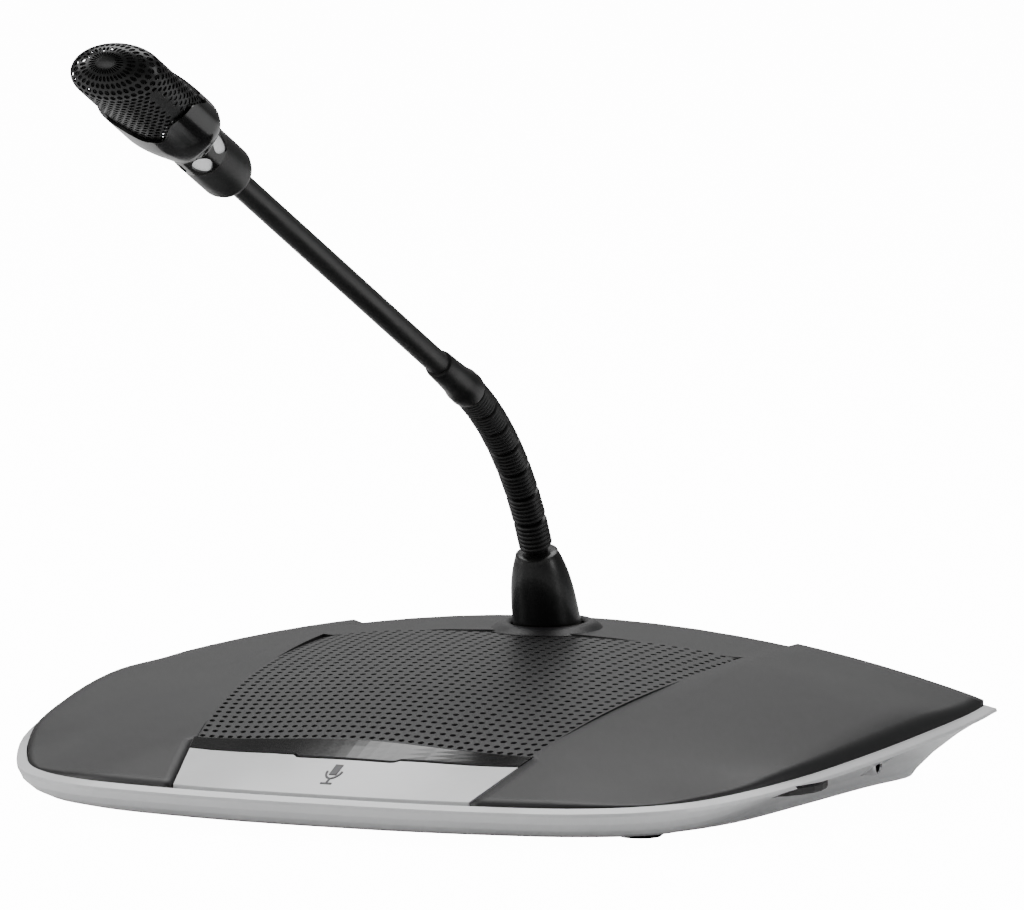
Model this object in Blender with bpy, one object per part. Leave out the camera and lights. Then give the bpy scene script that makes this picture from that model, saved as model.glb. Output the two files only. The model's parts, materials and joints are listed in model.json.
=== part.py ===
"""Desk discussion unit with a gooseneck microphone.

A low silver tray carries an arched dark cover with a loudspeaker grille field, a gloss strip and a
wide talk button along the front.  A tapered sleeve at the rear carries the ribbed gooseneck, the
straight stem tube and the microphone head.  Everything is in metres, +Z up, the front facing -Y.
"""
import math

import bmesh
import bpy
import numpy as np
from mathutils import Matrix, Vector

MM = 0.001
DEG = math.pi / 180.0

# ---- base: overall sizes ------------------------------------------------------------------------
BASE_WIDTH = 203.0 * MM           # over the lip
BASE_DEPTH = 146.0 * MM           # over the lip, at the centre line
LIP_OUT = 2.2 * MM                # the bright lip stands this far outside the cover
LIP_DROP = 0.9 * MM               # sloping top of the lip
LIP_SIDE = 0.7 * MM               # upright edge under it
TRAY_WALL = 1.8 * MM
FLOOR_Z = 1.2 * MM                # underside of the tray above the table
COVER_WALL = 1.8 * MM
COVER_SKIRT = 1.8 * MM            # the cover's edge reaches this far down inside the lip
COVER_RISE = 0.4 * MM             # the cover's edge stands this far above the lip
GAP = 0.3 * MM                    # between two pieces that touch
CLEAR = 0.5 * MM                  # around a piece that moves

# Half outlines from the front centre to the rear centre, as shares of half the cover's plan size.
# Rim: x, y and height in metres.  Floor: x and y of the flat underside.  CORNER is the rear corner.
RIM = (
    (0.000, -1.000, 8.4 * MM), (0.200, -0.995, 8.4 * MM), (0.393, -0.978, 8.5 * MM),
    (0.574, -0.946, 8.8 * MM), (0.715, -0.828, 9.0 * MM), (0.811, -0.630, 9.4 * MM),
    (0.908, -0.304, 11.2 * MM), (0.969, 0.100, 13.3 * MM), (0.997, 0.510, 14.9 * MM),
    (1.000, 0.800, 15.6 * MM), (0.990, 0.988, 16.0 * MM), (0.640, 0.994, 16.0 * MM),
    (0.320, 0.999, 16.0 * MM), (0.000, 1.000, 16.0 * MM),
)
FLOOR = (
    (0.000, -0.897), (0.181, -0.890), (0.352, -0.855), (0.504, -0.799), (0.624, -0.720),
    (0.705, -0.607), (0.775, -0.339), (0.809, 0.071), (0.838, 0.510), (0.866, 0.760),
    (0.845, 0.900), (0.560, 0.920), (0.280, 0.930), (0.000, 0.932),
)
CORNER = 10                       # station of the rear corner
COVER_TURN = 4                    # station where the cover's front edge turns into its side edge
PER_SPAN = 4                      # points between two stations
HULL_FRONT = 1.10                 # power of the wall's section: 1 is round, 2 straight, more is hollow
HULL_SIDE = 2.35
HULL_CHANGE = (-0.85, -0.20)      # share of half the depth between which it changes

# ---- cover surface ------------------------------------------------------------------------------
PANEL_FRONT_Y = -46.4 * MM        # front row of the grille field
PANEL_DEPTH = 91.5 * MM
PANEL_FRONT_Z = 18.7 * MM
PANEL_FRONT_SLOPE = 13.0 * DEG
PANEL_REAR_SLOPE = 1.1 * DEG
ARCH_RADIUS = 372.0 * MM          # across the front and middle
ARCH_RADIUS_REAR = 335.0 * MM
ARCH_CHANGE = (20.0 * MM, 68.0 * MM)
FRONT_SLOPE_CENTRE = 0.404        # rise of the button slope inward from the rim, at the centre
FRONT_SLOPE_SIDE = 0.320
FRONT_SLOPE_WIDTH = 40.0 * MM
SHOULDER = 2.2 * MM               # upright roll of the cover's side edges
SHOULDER_REACH = 3.5 * MM
SHOULDER_START = (-40.0 * MM, -15.0 * MM)
CREASE_BLEND = 0.6 * MM
FIELD_HALF_FRONT = 38.1 * MM      # half width of the grille field at its front row
FIELD_HALF_REAR = 49.1 * MM
FIELD_BULGE = 1.6 * MM            # the field's sides bow outward by this much at the middle
FIELD_MARGIN = 1.8 * MM
RAMP = 2.0 * MM                   # slope between the sunk centre panel and the wings
PANEL_SINK = 1.0 * MM             # at the rear, fading to nothing at the front

# ---- strip and button ---------------------------------------------------------------------------
STRIP_TOP_Y = -48.4 * MM          # rear edge of the strip at the centre
STRIP_HALF = 39.4 * MM            # half width of the opening at the strip's rear edge
SIDE_TAPER = 0.233                # how fast the opening narrows toward the front
BUTTON_TOP_Y = -54.9 * MM         # rear edge of the button at the centre
EDGE_BOW = 3.4 * MM               # the button's rear edge curves back by this much at its ends
STRIP_BOW = 1.7 * MM
EDGE_BOW_AT = 38.0 * MM
BUTTON_FRONT_GAP = 0.7 * MM       # to the lip
BUTTON_THICK = 2.0 * MM
STRIP_THICK = 2.6 * MM
TAB_HALF = 13.0 * MM              # tab of the strip that fills the button's notch
TAB_DEEP = 1.3 * MM
TAB_SLANT = 2.0 * MM
WINDOW_GAP = 0.4 * MM
HINGE_DROP = 4.8 * MM             # hinge axis below the button's face
HINGE_BACK = 3.0 * MM             # hinge axis in front of the button's rear edge
PIN_RADIUS = 1.0 * MM
PIN_HALF = 33.0 * MM
LUG_X = 24.0 * MM
LUG_WIDTH = 5.0 * MM
LUG_RADIUS = 2.2 * MM
CRADLE_WALL = 1.2 * MM
SPRING_RADIUS = 1.4 * MM
SPRING_X = 11.0 * MM
SWITCH_TRAVEL = 1.0 * MM

# ---- gooseneck microphone -----------------------------------------------------------------------
SOCKET_Y = 55.2 * MM              # where the microphone leaves the cover
COLLAR_RADIUS = 12.3 * MM
COLLAR_GAP = 1.0 * MM             # around the sleeve's foot
COLLAR_HEIGHT = 2.0 * MM
COLLAR_LEAN = 0.25                # the collar is this much taller at the rear and lower at the front
CONNECTOR_RADIUS = 5.0 * MM
NUT_RADIUS = 9.6 * MM
NUT_TOP = -5.8 * MM               # below the cover's face, along the sleeve's axis
NUT_THICK = 2.6 * MM
SLEEVE_TILT = 19.6 * DEG
SLEEVE_START = 0.3 * MM
SLEEVE_LENGTH = 19.3 * MM
SLEEVE_BOTTOM_RADIUS = 7.6 * MM
SLEEVE_TOP_RADIUS = 4.9 * MM
FLEX_COUNT = 7
FLEX_ARC = 54.5 * MM
FLEX_START = 23.5 * DEG           # lean of the flexible part where it starts and where it ends
FLEX_END = 65.3 * DEG
FLEX_RADIUS = 3.7 * MM
FLEX_BORE = 1.6 * MM
FLEX_GAP = 0.5 * MM
RELIEF = 0.62 * MM                # cone depth on the facing ends, which lets them tilt
BUSH_LENGTH = 18.7 * MM
BUSH_RADIUS_LOW = 3.9 * MM
BUSH_RADIUS_HIGH = 3.2 * MM
TUBE_LENGTH = 118.8 * MM
TUBE_RADIUS = 2.65 * MM
TUBE_BORE = 1.9 * MM
TUBE_INSERT = 6.0 * MM            # how far the tube sits in the bush and in the head
HEAD_LENGTH = 66.5 * MM           # rear of the neck to the tip of the basket
NECK_RADIUS = 5.2 * MM
NECK_LENGTH = 17.5 * MM
NECK_ROUND = 1.6 * MM
RING_LENGTH = 8.4 * MM
CUP_HALF = 6.3 * MM               # half height of the cup; it is wider than it is high
CUP_WIDE = 1.84                   # its width as a multiple of its height
CUP_REACH = 39.0 * MM             # where the flare behind it is fully open, from the neck's rear
CUP_RIM = 44.0 * MM
CUP_WALL = 0.65 * MM
BASKET_HALF = 5.3 * MM
BASKET_WIDE = 1.90
BASKET_DOME = 6.0 * MM            # length of its rounded end
BASKET_WALL = 0.5 * MM
CAPSULE_RADIUS = 3.9 * MM
CAPSULE_LENGTH = 6.0 * MM

# ---- side controls ------------------------------------------------------------------------------
WHEEL_Y = -15.5 * MM
WHEEL_Z = 8.8 * MM
WHEEL_RADIUS = 16.5 * MM
WHEEL_PROUD = 2.8 * MM            # how far the wheel stands out of the wall
WHEEL_THICK = 1.8 * MM
JACK_Y = 23.7 * MM
JACK_Z = 8.3 * MM
JACK_BORE = 1.75 * MM
JACK_RING = 2.4 * MM
JACK_SLEEVE = 7.4 * MM            # length of the ring's barrel through the wall
JACK_BODY = (11.0 * MM, 6.0 * MM, 5.0 * MM)

# ---- inside -------------------------------------------------------------------------------------
BALLAST = (96.0 * MM, 84.0 * MM, 1.3 * MM)
BOARD = (140.0 * MM, 92.0 * MM, 1.4 * MM)
BOARD_HOLE = 23.0 * MM            # radius around the loudspeaker's magnet
SPEAKER_Y = -2.0 * MM
SPEAKER_RADIUS = 31.0 * MM
SPEAKER_TILT = 7.2 * DEG
SPEAKER_DROP = 3.2 * MM           # gasket face below the cover's face
GASKET_THICK = 1.3 * MM
FRAME_DEPTH = 7.2 * MM
CONE_RADIUS = 27.0 * MM
MAGNET_RADIUS = 16.0 * MM
MAGNET_DEPTH = 4.6 * MM

# ---- underside and rear -------------------------------------------------------------------------
FOOT_X = 62.5 * MM
FOOT_FRONT_Y = -42.0 * MM
FOOT_REAR_Y = 50.0 * MM
FOOT_RADIUS = 5.0 * MM
FOOT_SINK = 0.9 * MM              # depth of its pocket in the tray
SCREW_X = 48.0 * MM
SCREW_Y = (-47.0 * MM, 60.0 * MM)
SCREW_HEAD_RADIUS = 2.7 * MM
SCREW_SHANK_RADIUS = 1.3 * MM
SCREW_LENGTH = 5.0 * MM
PORT_X = 26.0 * MM                # socket on one side of the centre line, gland on the other
PORT_DROP = 7.2 * MM              # their axis below the cover's rear edge
PORT_BARREL = 4.4 * MM
PORT_FLANGE = 5.3 * MM
PORT_RECESS = 3.6 * MM
PORT_LENGTH = 12.0 * MM
GLAND_RADIUS = 4.2 * MM
GLAND_BORE = 2.7 * MM


# =================================================================================================
# materials and small helpers
# =================================================================================================
MATERIALS = {
    "silver": ((0.70, 0.71, 0.73), 0.38, 0.30),
    "anthracite": ((0.055, 0.056, 0.060), 0.55, 0.0),
    "gloss_black": ((0.010, 0.010, 0.011), 0.12, 0.0),
    "satin_black": ((0.014, 0.014, 0.015), 0.32, 0.0),
    "button_grey": ((0.78, 0.79, 0.80), 0.42, 0.0),
    "rubber": ((0.018, 0.018, 0.018), 0.80, 0.0),
    "steel": ((0.60, 0.60, 0.61), 0.30, 1.0),
    "chrome": ((0.80, 0.80, 0.81), 0.10, 1.0),
    "board_green": ((0.02, 0.14, 0.07), 0.50, 0.0),
    "clear": ((0.86, 0.88, 0.90), 0.15, 0.0),
    "light_white": ((0.86, 0.87, 0.88), 0.30, 0.0),
    "foam": ((0.030, 0.030, 0.031), 0.95, 0.0),
    "paper": ((0.035, 0.035, 0.037), 0.85, 0.0),
    "brass": ((0.72, 0.55, 0.26), 0.28, 1.0),
}


def material(name):
    """One Principled material for each finish."""
    found = bpy.data.materials.get(name)
    if found:
        return found
    colour, roughness, metallic = MATERIALS[name]
    made = bpy.data.materials.new(name)
    made.use_nodes = True
    shader = made.node_tree.nodes["Principled BSDF"]
    shader.inputs["Base Color"].default_value = (*colour, 1.0)
    shader.inputs["Roughness"].default_value = roughness
    shader.inputs["Metallic"].default_value = metallic
    made.diffuse_color = (*colour, 1.0)
    return made


def clear_scene():
    for item in list(bpy.data.objects):
        bpy.data.objects.remove(item, do_unlink=True)


def link(item, parent, location=(0.0, 0.0, 0.0), rotation=(0.0, 0.0, 0.0)):
    bpy.context.scene.collection.objects.link(item)
    item.parent = parent
    item.location = location
    item.rotation_euler = rotation
    return item


def empty(name, parent, location=(0.0, 0.0, 0.0), rotation=(0.0, 0.0, 0.0)):
    return link(bpy.data.objects.new(name, None), parent, location, rotation)


def solid(name, bm, finish, parent, location=(0.0, 0.0, 0.0), rotation=(0.0, 0.0, 0.0), angle=35.0):
    """Turns a bmesh into a named object with outward faces and smooth round sides."""
    bmesh.ops.remove_doubles(bm, verts=bm.verts, dist=1e-6)
    bmesh.ops.recalc_face_normals(bm, faces=bm.faces)
    mesh = bpy.data.meshes.new(name)
    bm.to_mesh(mesh)
    bm.free()
    mesh.shade_smooth()
    mesh.set_sharp_from_angle(angle=angle * DEG)
    mesh.materials.append(material(finish))
    return link(bpy.data.objects.new(name, mesh), parent, location, rotation)


def copy_of(source, name, parent, location=(0.0, 0.0, 0.0), rotation=(0.0, 0.0, 0.0)):
    """A separate object that shares its mesh with another."""
    return link(bpy.data.objects.new(name, source.data), parent, location, rotation)


def turned(profile, segments=24, closed=False, wide=None):
    """A turned solid about Z from (radius, height) points; radius 0 ends close on the axis.

    wide(height) widens it along X into an oval."""
    bm = bmesh.new()
    rings = []
    for radius, height in profile:
        if radius < 1e-7:
            rings.append([bm.verts.new((0.0, 0.0, height))])
            continue
        turn = [2.0 * math.pi * k / segments for k in range(segments)]
        across = radius * (wide(height) if wide else 1.0)
        rings.append([bm.verts.new((across * math.cos(a), radius * math.sin(a), height)) for a in turn])
    pairs = list(zip(rings, rings[1:]))
    if closed:
        pairs.append((rings[-1], rings[0]))
    for low, high in pairs:
        if len(low) + len(high) == 2:
            continue
        for k in range(segments):
            n = (k + 1) % segments
            if len(low) == 1:
                bm.faces.new((low[0], high[k], high[n]))
            elif len(high) == 1:
                bm.faces.new((low[k], low[n], high[0]))
            else:
                bm.faces.new((low[k], low[n], high[n], high[k]))
    return bm


def skinned(rings, cap_first=True, cap_last=True):
    """Skins rings of equal point counts and closes the two ends."""
    bm = bmesh.new()
    made = [[bm.verts.new(point) for point in ring] for ring in rings]
    count = len(made[0])
    for low, high in zip(made, made[1:]):
        for k in range(count):
            n = (k + 1) % count
            bm.faces.new((low[k], low[n], high[n], high[k]))
    if cap_first:
        bm.faces.new(list(reversed(made[0])))
    if cap_last:
        bm.faces.new(made[-1])
    return bm


def block(size, bevel=0.0, centre=(0.0, 0.0, 0.0), segments=1):
    """A box with its edges bevelled."""
    bm = bmesh.new()
    bmesh.ops.create_cube(bm, size=1.0)
    bmesh.ops.scale(bm, vec=size, verts=bm.verts)
    bmesh.ops.translate(bm, vec=centre, verts=bm.verts)
    if bevel > 0.0:
        bmesh.ops.bevel(bm, geom=list(bm.edges), offset=bevel, offset_type="OFFSET", segments=segments,
                        profile=0.5, affect="EDGES", material=-1)
    return bm


def rod(radius, length, segments=16):
    """A plain cylinder along Z, centred."""
    half = 0.5 * length
    return turned([(0.0, -half), (radius, -half), (radius, half), (0.0, half)], segments)


def cutter(name, bm, parent, location=(0.0, 0.0, 0.0), rotation=(0.0, 0.0, 0.0)):
    """A solid that only cuts or joins others; it is not part of the object."""
    made = solid(name, bm, "steel", parent, location, rotation)
    made.hide_render = True
    made.display_type = "WIRE"
    return made


def combine(target, tool, operation):
    step = target.modifiers.new(tool.name, "BOOLEAN")
    step.object = tool
    step.operation = operation
    step.solver = "EXACT"


def smooth_step(low, high, value):
    t = min(max((value - low) / (high - low), 0.0), 1.0)
    return t * t * (3.0 - 2.0 * t)


def mix(a, b, share):
    return a + (b - a) * share


# =================================================================================================
# outlines
# =================================================================================================
RIM_HALF_WIDTH = 0.5 * BASE_WIDTH - LIP_OUT
RIM_HALF_DEPTH = 0.5 * BASE_DEPTH - LIP_OUT


def spline(points, per_span):
    """Smooth curve through points (uniform Catmull-Rom), with per_span pieces in each span."""
    points = [np.array(p, dtype=float) for p in points]
    padded = [2.0 * points[0] - points[1]] + points + [2.0 * points[-1] - points[-2]]
    out = []
    for k in range(1, len(padded) - 2):
        a, b, c, d = padded[k - 1:k + 3]
        for step in range(per_span):
            t = step / per_span
            out.append(0.5 * (2.0 * b + (c - a) * t + (2.0 * a - 5.0 * b + 4.0 * c - d) * t * t
                              + (3.0 * b - a - 3.0 * c + d) * t ** 3))
    out.append(points[-1])
    return out


def outline(stations, heights):
    """Closed loop of points: from the front centre round the right side, the rear and back."""
    half = []
    for (share_x, share_y), height in zip(stations, heights):
        half.append((share_x * RIM_HALF_WIDTH, share_y * RIM_HALF_DEPTH, height))
    mirrored_start = (-half[1][0], half[1][1], half[1][2])
    front = spline([mirrored_start] + half[:CORNER + 1], PER_SPAN)[PER_SPAN:]
    rear = spline(half[CORNER:], PER_SPAN)
    right = front + rear[1:]
    left = [np.array((-p[0], p[1], p[2])) for p in reversed(right[1:-1])]
    return np.array(right + left)


def offset_outline(loop, distance):
    """Moves a closed loop outward in plan, keeping sharp corners sharp."""
    ahead = np.roll(loop, -1, axis=0) - loop
    behind = loop - np.roll(loop, 1, axis=0)
    out = loop.copy()
    for k in range(len(loop)):
        n1 = Vector((behind[k][1], -behind[k][0])).normalized()
        n2 = Vector((ahead[k][1], -ahead[k][0])).normalized()
        middle = (n1 + n2).normalized()
        reach = distance / max(middle.dot(n1), 0.3)
        out[k][0] += middle.x * reach
        out[k][1] += middle.y * reach
    return out


RIM_LOOP = outline([(s[0], s[1]) for s in RIM], [s[2] for s in RIM])
FLOOR_LOOP = outline(FLOOR, [FLOOR_Z] * len(FLOOR))
LIP_LOOP = offset_outline(RIM_LOOP, LIP_OUT)
SIDE_POINTS = [p for p in RIM_LOOP[:CORNER * PER_SPAN + 1]]


def rim_reach(x, y):
    """Distance inward from the front and side rim, and the rim's height at the nearest point."""
    best, height = 1e9, 0.0
    for a, b in zip(SIDE_POINTS, SIDE_POINTS[1:]):
        run = b - a
        flat = run[0] * run[0] + run[1] * run[1]
        t = min(max(((abs(x) - a[0]) * run[0] + (y - a[1]) * run[1]) / flat, 0.0), 1.0)
        distance = math.hypot(abs(x) - a[0] - t * run[0], y - a[1] - t * run[1])
        if distance < best:
            best, height = distance, a[2] + t * run[2]
    return best, height


def hull_share(share, ring):
    """How far inward and downward the wall's section has gone at a share of its run."""
    y = RIM_LOOP[ring][1] / RIM_HALF_DEPTH
    power = mix(HULL_FRONT, HULL_SIDE, smooth_step(*HULL_CHANGE, y))
    angle = 0.5 * math.pi * share
    return 1.0 - math.cos(angle) ** power, math.sin(angle) ** power


def hull_point(share, ring):
    """Point of the tray's outer wall: share 0 at the lip's lower edge, 1 at the floor."""
    inward, down = hull_share(share, ring)
    lip, floor = LIP_LOOP[ring], FLOOR_LOOP[ring]
    top = lip[2] - LIP_DROP - LIP_SIDE
    return np.array((mix(lip[0], floor[0], inward), mix(lip[1], floor[1], inward), mix(top, floor[2], down)))


def wall_x(y, z):
    """Half width of the tray's outer wall on the right side at a given y and height."""
    best, found = 1e9, RIM_HALF_WIDTH
    for ring in range(COVER_TURN * PER_SPAN, CORNER * PER_SPAN):
        for step in range(41):
            p = hull_point(step / 40.0, ring)
            miss = math.hypot(p[1] - y, p[2] - z)
            if miss < best:
                best, found = miss, p[0]
    return found


# =================================================================================================
# cover surface
# =================================================================================================
def field_half(y):
    """Half width of the grille field, fanning out toward the rear."""
    b = (y - PANEL_FRONT_Y) / PANEL_DEPTH
    if b < 0.0:
        return FIELD_HALF_FRONT
    b = min(b, 1.3)
    return mix(FIELD_HALF_FRONT, FIELD_HALF_REAR, b) + 4.0 * FIELD_BULGE * b * (1.0 - b)


def crown_height(x, y):
    """The arched top: rising to the rear, with the centre panel sunk a little between the wings."""
    b = (y - PANEL_FRONT_Y) / PANEL_DEPTH
    rise_front = PANEL_DEPTH * math.tan(PANEL_FRONT_SLOPE)
    rise_rear = PANEL_DEPTH * math.tan(PANEL_REAR_SLOPE)
    ease = 0.5 * (rise_front - rise_rear)
    if b < 0.0:
        centre = PANEL_FRONT_Z + rise_front * b
    elif b < 1.0:
        centre = PANEL_FRONT_Z + rise_front * b - ease * b * b
    else:
        centre = PANEL_FRONT_Z + rise_front - ease + rise_rear * (b - 1.0)
    radius = mix(ARCH_RADIUS, ARCH_RADIUS_REAR, smooth_step(*ARCH_CHANGE, y))
    edge = field_half(y) + FIELD_MARGIN
    wing = smooth_step(edge, edge + RAMP, abs(x))
    raised = PANEL_SINK * min(max(b, 0.0), 1.0) * wing
    return centre - x * x / (2.0 * radius) + raised


def cover_height(x, y):
    """Outer face of the cover: the arch, meeting the slope that climbs from the rim."""
    reach, rim = rim_reach(x, y)
    slope = mix(FRONT_SLOPE_CENTRE, FRONT_SLOPE_SIDE, smooth_step(0.0, FRONT_SLOPE_WIDTH, abs(x)))
    near = min(reach / SHOULDER_REACH, 1.0)
    shoulder = SHOULDER * smooth_step(*SHOULDER_START, y) * math.sqrt(1.0 - (1.0 - near) ** 2)
    edge = rim + COVER_RISE + shoulder + slope * reach
    crown = crown_height(x, y)
    blend = max(CREASE_BLEND - abs(edge - crown), 0.0) / CREASE_BLEND
    return min(edge, crown) - blend * blend * CREASE_BLEND * 0.25


def opening_half(y):
    """Half width of the strip and button opening."""
    return STRIP_HALF + SIDE_TAPER * (y - STRIP_TOP_Y)


def strip_rear_edge(x):
    return STRIP_TOP_Y + STRIP_BOW * (x / EDGE_BOW_AT) ** 2


def button_rear_edge(x):
    """Rear edge of the button, with the notch for the strip's tab."""
    inside = 1.0 - smooth_step(TAB_HALF - TAB_SLANT, TAB_HALF, abs(x))
    return BUTTON_TOP_Y + EDGE_BOW * (x / EDGE_BOW_AT) ** 2 - TAB_DEEP * inside


def rim_front_y(x):
    """The rim's y at a given x along the front."""
    front = SIDE_POINTS[:COVER_TURN * PER_SPAN + 1]
    for a, b in zip(front, front[1:]):
        if a[0] <= abs(x) <= b[0]:
            return mix(a[1], b[1], (abs(x) - a[0]) / (b[0] - a[0]))
    return front[-1][1]


# =================================================================================================
# base shell
# =================================================================================================
def lifted(loop, heights):
    return [(p[0], p[1], h) for p, h in zip(loop, heights)]


def make_tray(parent):
    """Open silver tray: flat floor, tapering walls, bright lip and an inner ledge for the cover."""
    rim_z = RIM_LOOP[:, 2]
    ledge_loop = offset_outline(RIM_LOOP, -(GAP + COVER_WALL + GAP))
    inner_floor = offset_outline(FLOOR_LOOP, -1.0 * MM)
    inner_z = FLOOR_Z + TRAY_WALL
    ledge_z = rim_z - COVER_SKIRT - GAP
    rings = [lifted(FLOOR_LOOP, [FLOOR_Z] * len(RIM_LOOP))]
    for share in (0.8, 0.6, 0.4, 0.2, 0.0):
        rings.append([tuple(hull_point(share, k)) for k in range(len(RIM_LOOP))])
    rings.append(lifted(offset_outline(RIM_LOOP, LIP_OUT - 0.15 * MM), rim_z - LIP_DROP))
    rings.append(lifted(RIM_LOOP, rim_z))
    rings.append(lifted(RIM_LOOP, ledge_z))
    rings.append(lifted(ledge_loop, ledge_z))
    for share in (0.25, 0.50, 0.75):
        ring = []
        for k in range(len(RIM_LOOP)):
            inward, down = hull_share(share, k)
            top, low = ledge_loop[k], inner_floor[k]
            ring.append((mix(top[0], low[0], inward), mix(top[1], low[1], inward),
                         mix(ledge_z[k], inner_z, down)))
        rings.append(ring)
    rings.append(lifted(inner_floor, [inner_z] * len(RIM_LOOP)))
    return solid("base_tray", skinned(rings), "silver", parent)


def both_ways(half):
    """Shares 0 to 1 across the cover from shares of its half width, the same on both sides."""
    return [0.5 - 0.5 * s for s in reversed(half[1:])] + [0.5 + 0.5 * s for s in half]


# The cover's columns, closer together at the step between the centre panel and each wing.
COLUMNS_FRONT = both_ways((0.0, 0.11, 0.22, 0.33, 0.43, 0.50, 0.547, 0.575, 0.62, 0.69, 0.77, 0.85, 0.92, 0.97, 1.0))
COLUMNS_REAR = both_ways((0.0, 0.10, 0.20, 0.30, 0.40, 0.48, 0.526, 0.548, 0.60, 0.67, 0.75, 0.83, 0.91, 0.97, 1.0))


def cover_sheet():
    """The cover's outer skin: the arched top, and a skirt down inside the lip and at the rear."""
    edge = offset_outline(RIM_LOOP, -GAP)
    total = len(edge)
    turn, corner = COVER_TURN * PER_SPAN, CORNER * PER_SPAN
    front = resample(np.array([edge[k % total][:2] for k in range(-turn, turn + 1)]), COLUMNS_FRONT)
    right = np.array([edge[k][:2] for k in range(turn, corner + 1)])
    left = right * np.array((-1.0, 1.0))
    columns, rows = len(COLUMNS_FRONT), len(right)
    rear_loop = [edge[k][:2] for k in range(corner, total - corner + 1)][::-1]
    rear = resample(np.array(rear_loop), COLUMNS_REAR)
    grid = np.zeros((rows, columns, 2))
    for i in range(rows):
        v = i / (rows - 1)
        for j in range(columns):
            u = mix(COLUMNS_FRONT[j], COLUMNS_REAR[j], v)
            lines = mix(front[j], rear[j], v) + mix(left[i], right[i], u)
            corners = mix(mix(front[0], front[-1], u), mix(rear[0], rear[-1], u), v)
            grid[i, j] = lines - corners
    bm = bmesh.new()
    top = [[bm.verts.new((*grid[i, j], cover_height(*grid[i, j]))) for j in range(columns)]
           for i in range(rows)]
    for i in range(rows - 1):
        for j in range(columns - 1):
            bm.faces.new((top[i][j], top[i][j + 1], top[i + 1][j + 1], top[i + 1][j]))
    border = top[0] + [row[-1] for row in top[1:]] + top[-1][-2::-1] + [row[0] for row in top[-2:0:-1]]
    skirt = []
    for vertex in border:
        rim = nearest_rim_height(vertex.co.x, vertex.co.y)
        skirt.append(bm.verts.new((vertex.co.x, vertex.co.y, rim - COVER_SKIRT)))
    count = len(border)
    for k in range(count):
        n = (k + 1) % count
        bm.faces.new((border[k], skirt[k], skirt[n], border[n]))
    return bm


def resample(points, shares):
    """Points at given shares of the length of a line of points."""
    steps = np.concatenate([[0.0], np.cumsum(np.linalg.norm(np.diff(points, axis=0), axis=1))])
    wanted = np.array(shares) * steps[-1]
    return np.stack([np.interp(wanted, steps, points[:, k]) for k in range(points.shape[1])], axis=1)


def nearest_rim_height(x, y):
    distance = np.hypot(RIM_LOOP[:, 0] - x, RIM_LOOP[:, 1] - y)
    return float(RIM_LOOP[int(distance.argmin()), 2])


def opening_prism(margin, low, high):
    """Upright prism over the strip and button, which opens the cover for them."""
    rear = [(x, strip_rear_edge(x) + margin) for x in np.linspace(-STRIP_HALF - margin, STRIP_HALF + margin, 9)]
    front_y = -RIM_HALF_DEPTH - 4.0 * MM
    front_x = opening_half(front_y) + margin
    plan = [(-front_x, front_y), (front_x, front_y)] + rear[::-1]
    return skinned([[(x, y, low) for x, y in plan], [(x, y, high) for x, y in plan]])


def make_cover(parent, cutters):
    cover = solid("top_cover", cover_sheet(), "anthracite", parent, angle=50.0)
    shell = cover.modifiers.new("wall", "SOLIDIFY")
    shell.thickness = COVER_WALL
    shell.offset = -1.0
    shell.use_even_offset = True
    window = cutter("cut_button_window", opening_prism(WINDOW_GAP, -10.0 * MM, 60.0 * MM), cutters)
    combine(cover, window, "DIFFERENCE")
    socket_z = cover_height(0.0, SOCKET_Y)
    hole = cutter("cut_socket", rod(SLEEVE_BOTTOM_RADIUS + CLEAR, 12.0 * MM, 24), cutters,
                  (0.0, SOCKET_Y, socket_z), (SLEEVE_TILT, 0.0, 0.0))
    combine(cover, hole, "DIFFERENCE")
    for side, radius in ((-1.0, PORT_BARREL), (1.0, GLAND_RADIUS)):
        name = "cut_port" if side < 0.0 else "cut_gland"
        port = cutter(name, rod(radius + GAP, 16.0 * MM, 24), cutters,
                      (side * PORT_X, REAR_WALL_Y, PORT_Z), (0.5 * math.pi, 0.0, 0.0))
        combine(cover, port, "DIFFERENCE")
    return cover


REAR_WALL_Y = RIM_HALF_DEPTH - GAP
PORT_Z = cover_height(PORT_X, REAR_WALL_Y) - PORT_DROP


# =================================================================================================
# strip, button and what works behind them
# =================================================================================================
def surface_slab(columns, rows_at, thick, lift):
    """Slab that follows the cover's face; rows_at(x) lists its y stations from front to rear."""
    count = len(rows_at(columns[0]))
    bm = bmesh.new()
    upper, lower = [], []
    for x in columns:
        face = [(x, y, cover_height(x, y) + lift) for y in rows_at(x)]
        upper.append([bm.verts.new(p) for p in face])
        lower.append([bm.verts.new((p[0], p[1], p[2] - thick)) for p in face])
    last = len(columns) - 1
    for i in range(last):
        for j in range(count - 1):
            bm.faces.new((upper[i][j], upper[i + 1][j], upper[i + 1][j + 1], upper[i][j + 1]))
            bm.faces.new((lower[i][j], lower[i][j + 1], lower[i + 1][j + 1], lower[i + 1][j]))
        bm.faces.new((upper[i][0], lower[i][0], lower[i + 1][0], upper[i + 1][0]))
        bm.faces.new((upper[i][-1], upper[i + 1][-1], lower[i + 1][-1], lower[i][-1]))
    for j in range(count - 1):
        bm.faces.new((upper[0][j], upper[0][j + 1], lower[0][j + 1], lower[0][j]))
        bm.faces.new((upper[last][j], lower[last][j], lower[last][j + 1], upper[last][j + 1]))
    return bm


def slanted(x_share, y):
    """x of a column that leans with the opening's tapering sides."""
    return x_share * (opening_half(y) - GAP)


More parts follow.
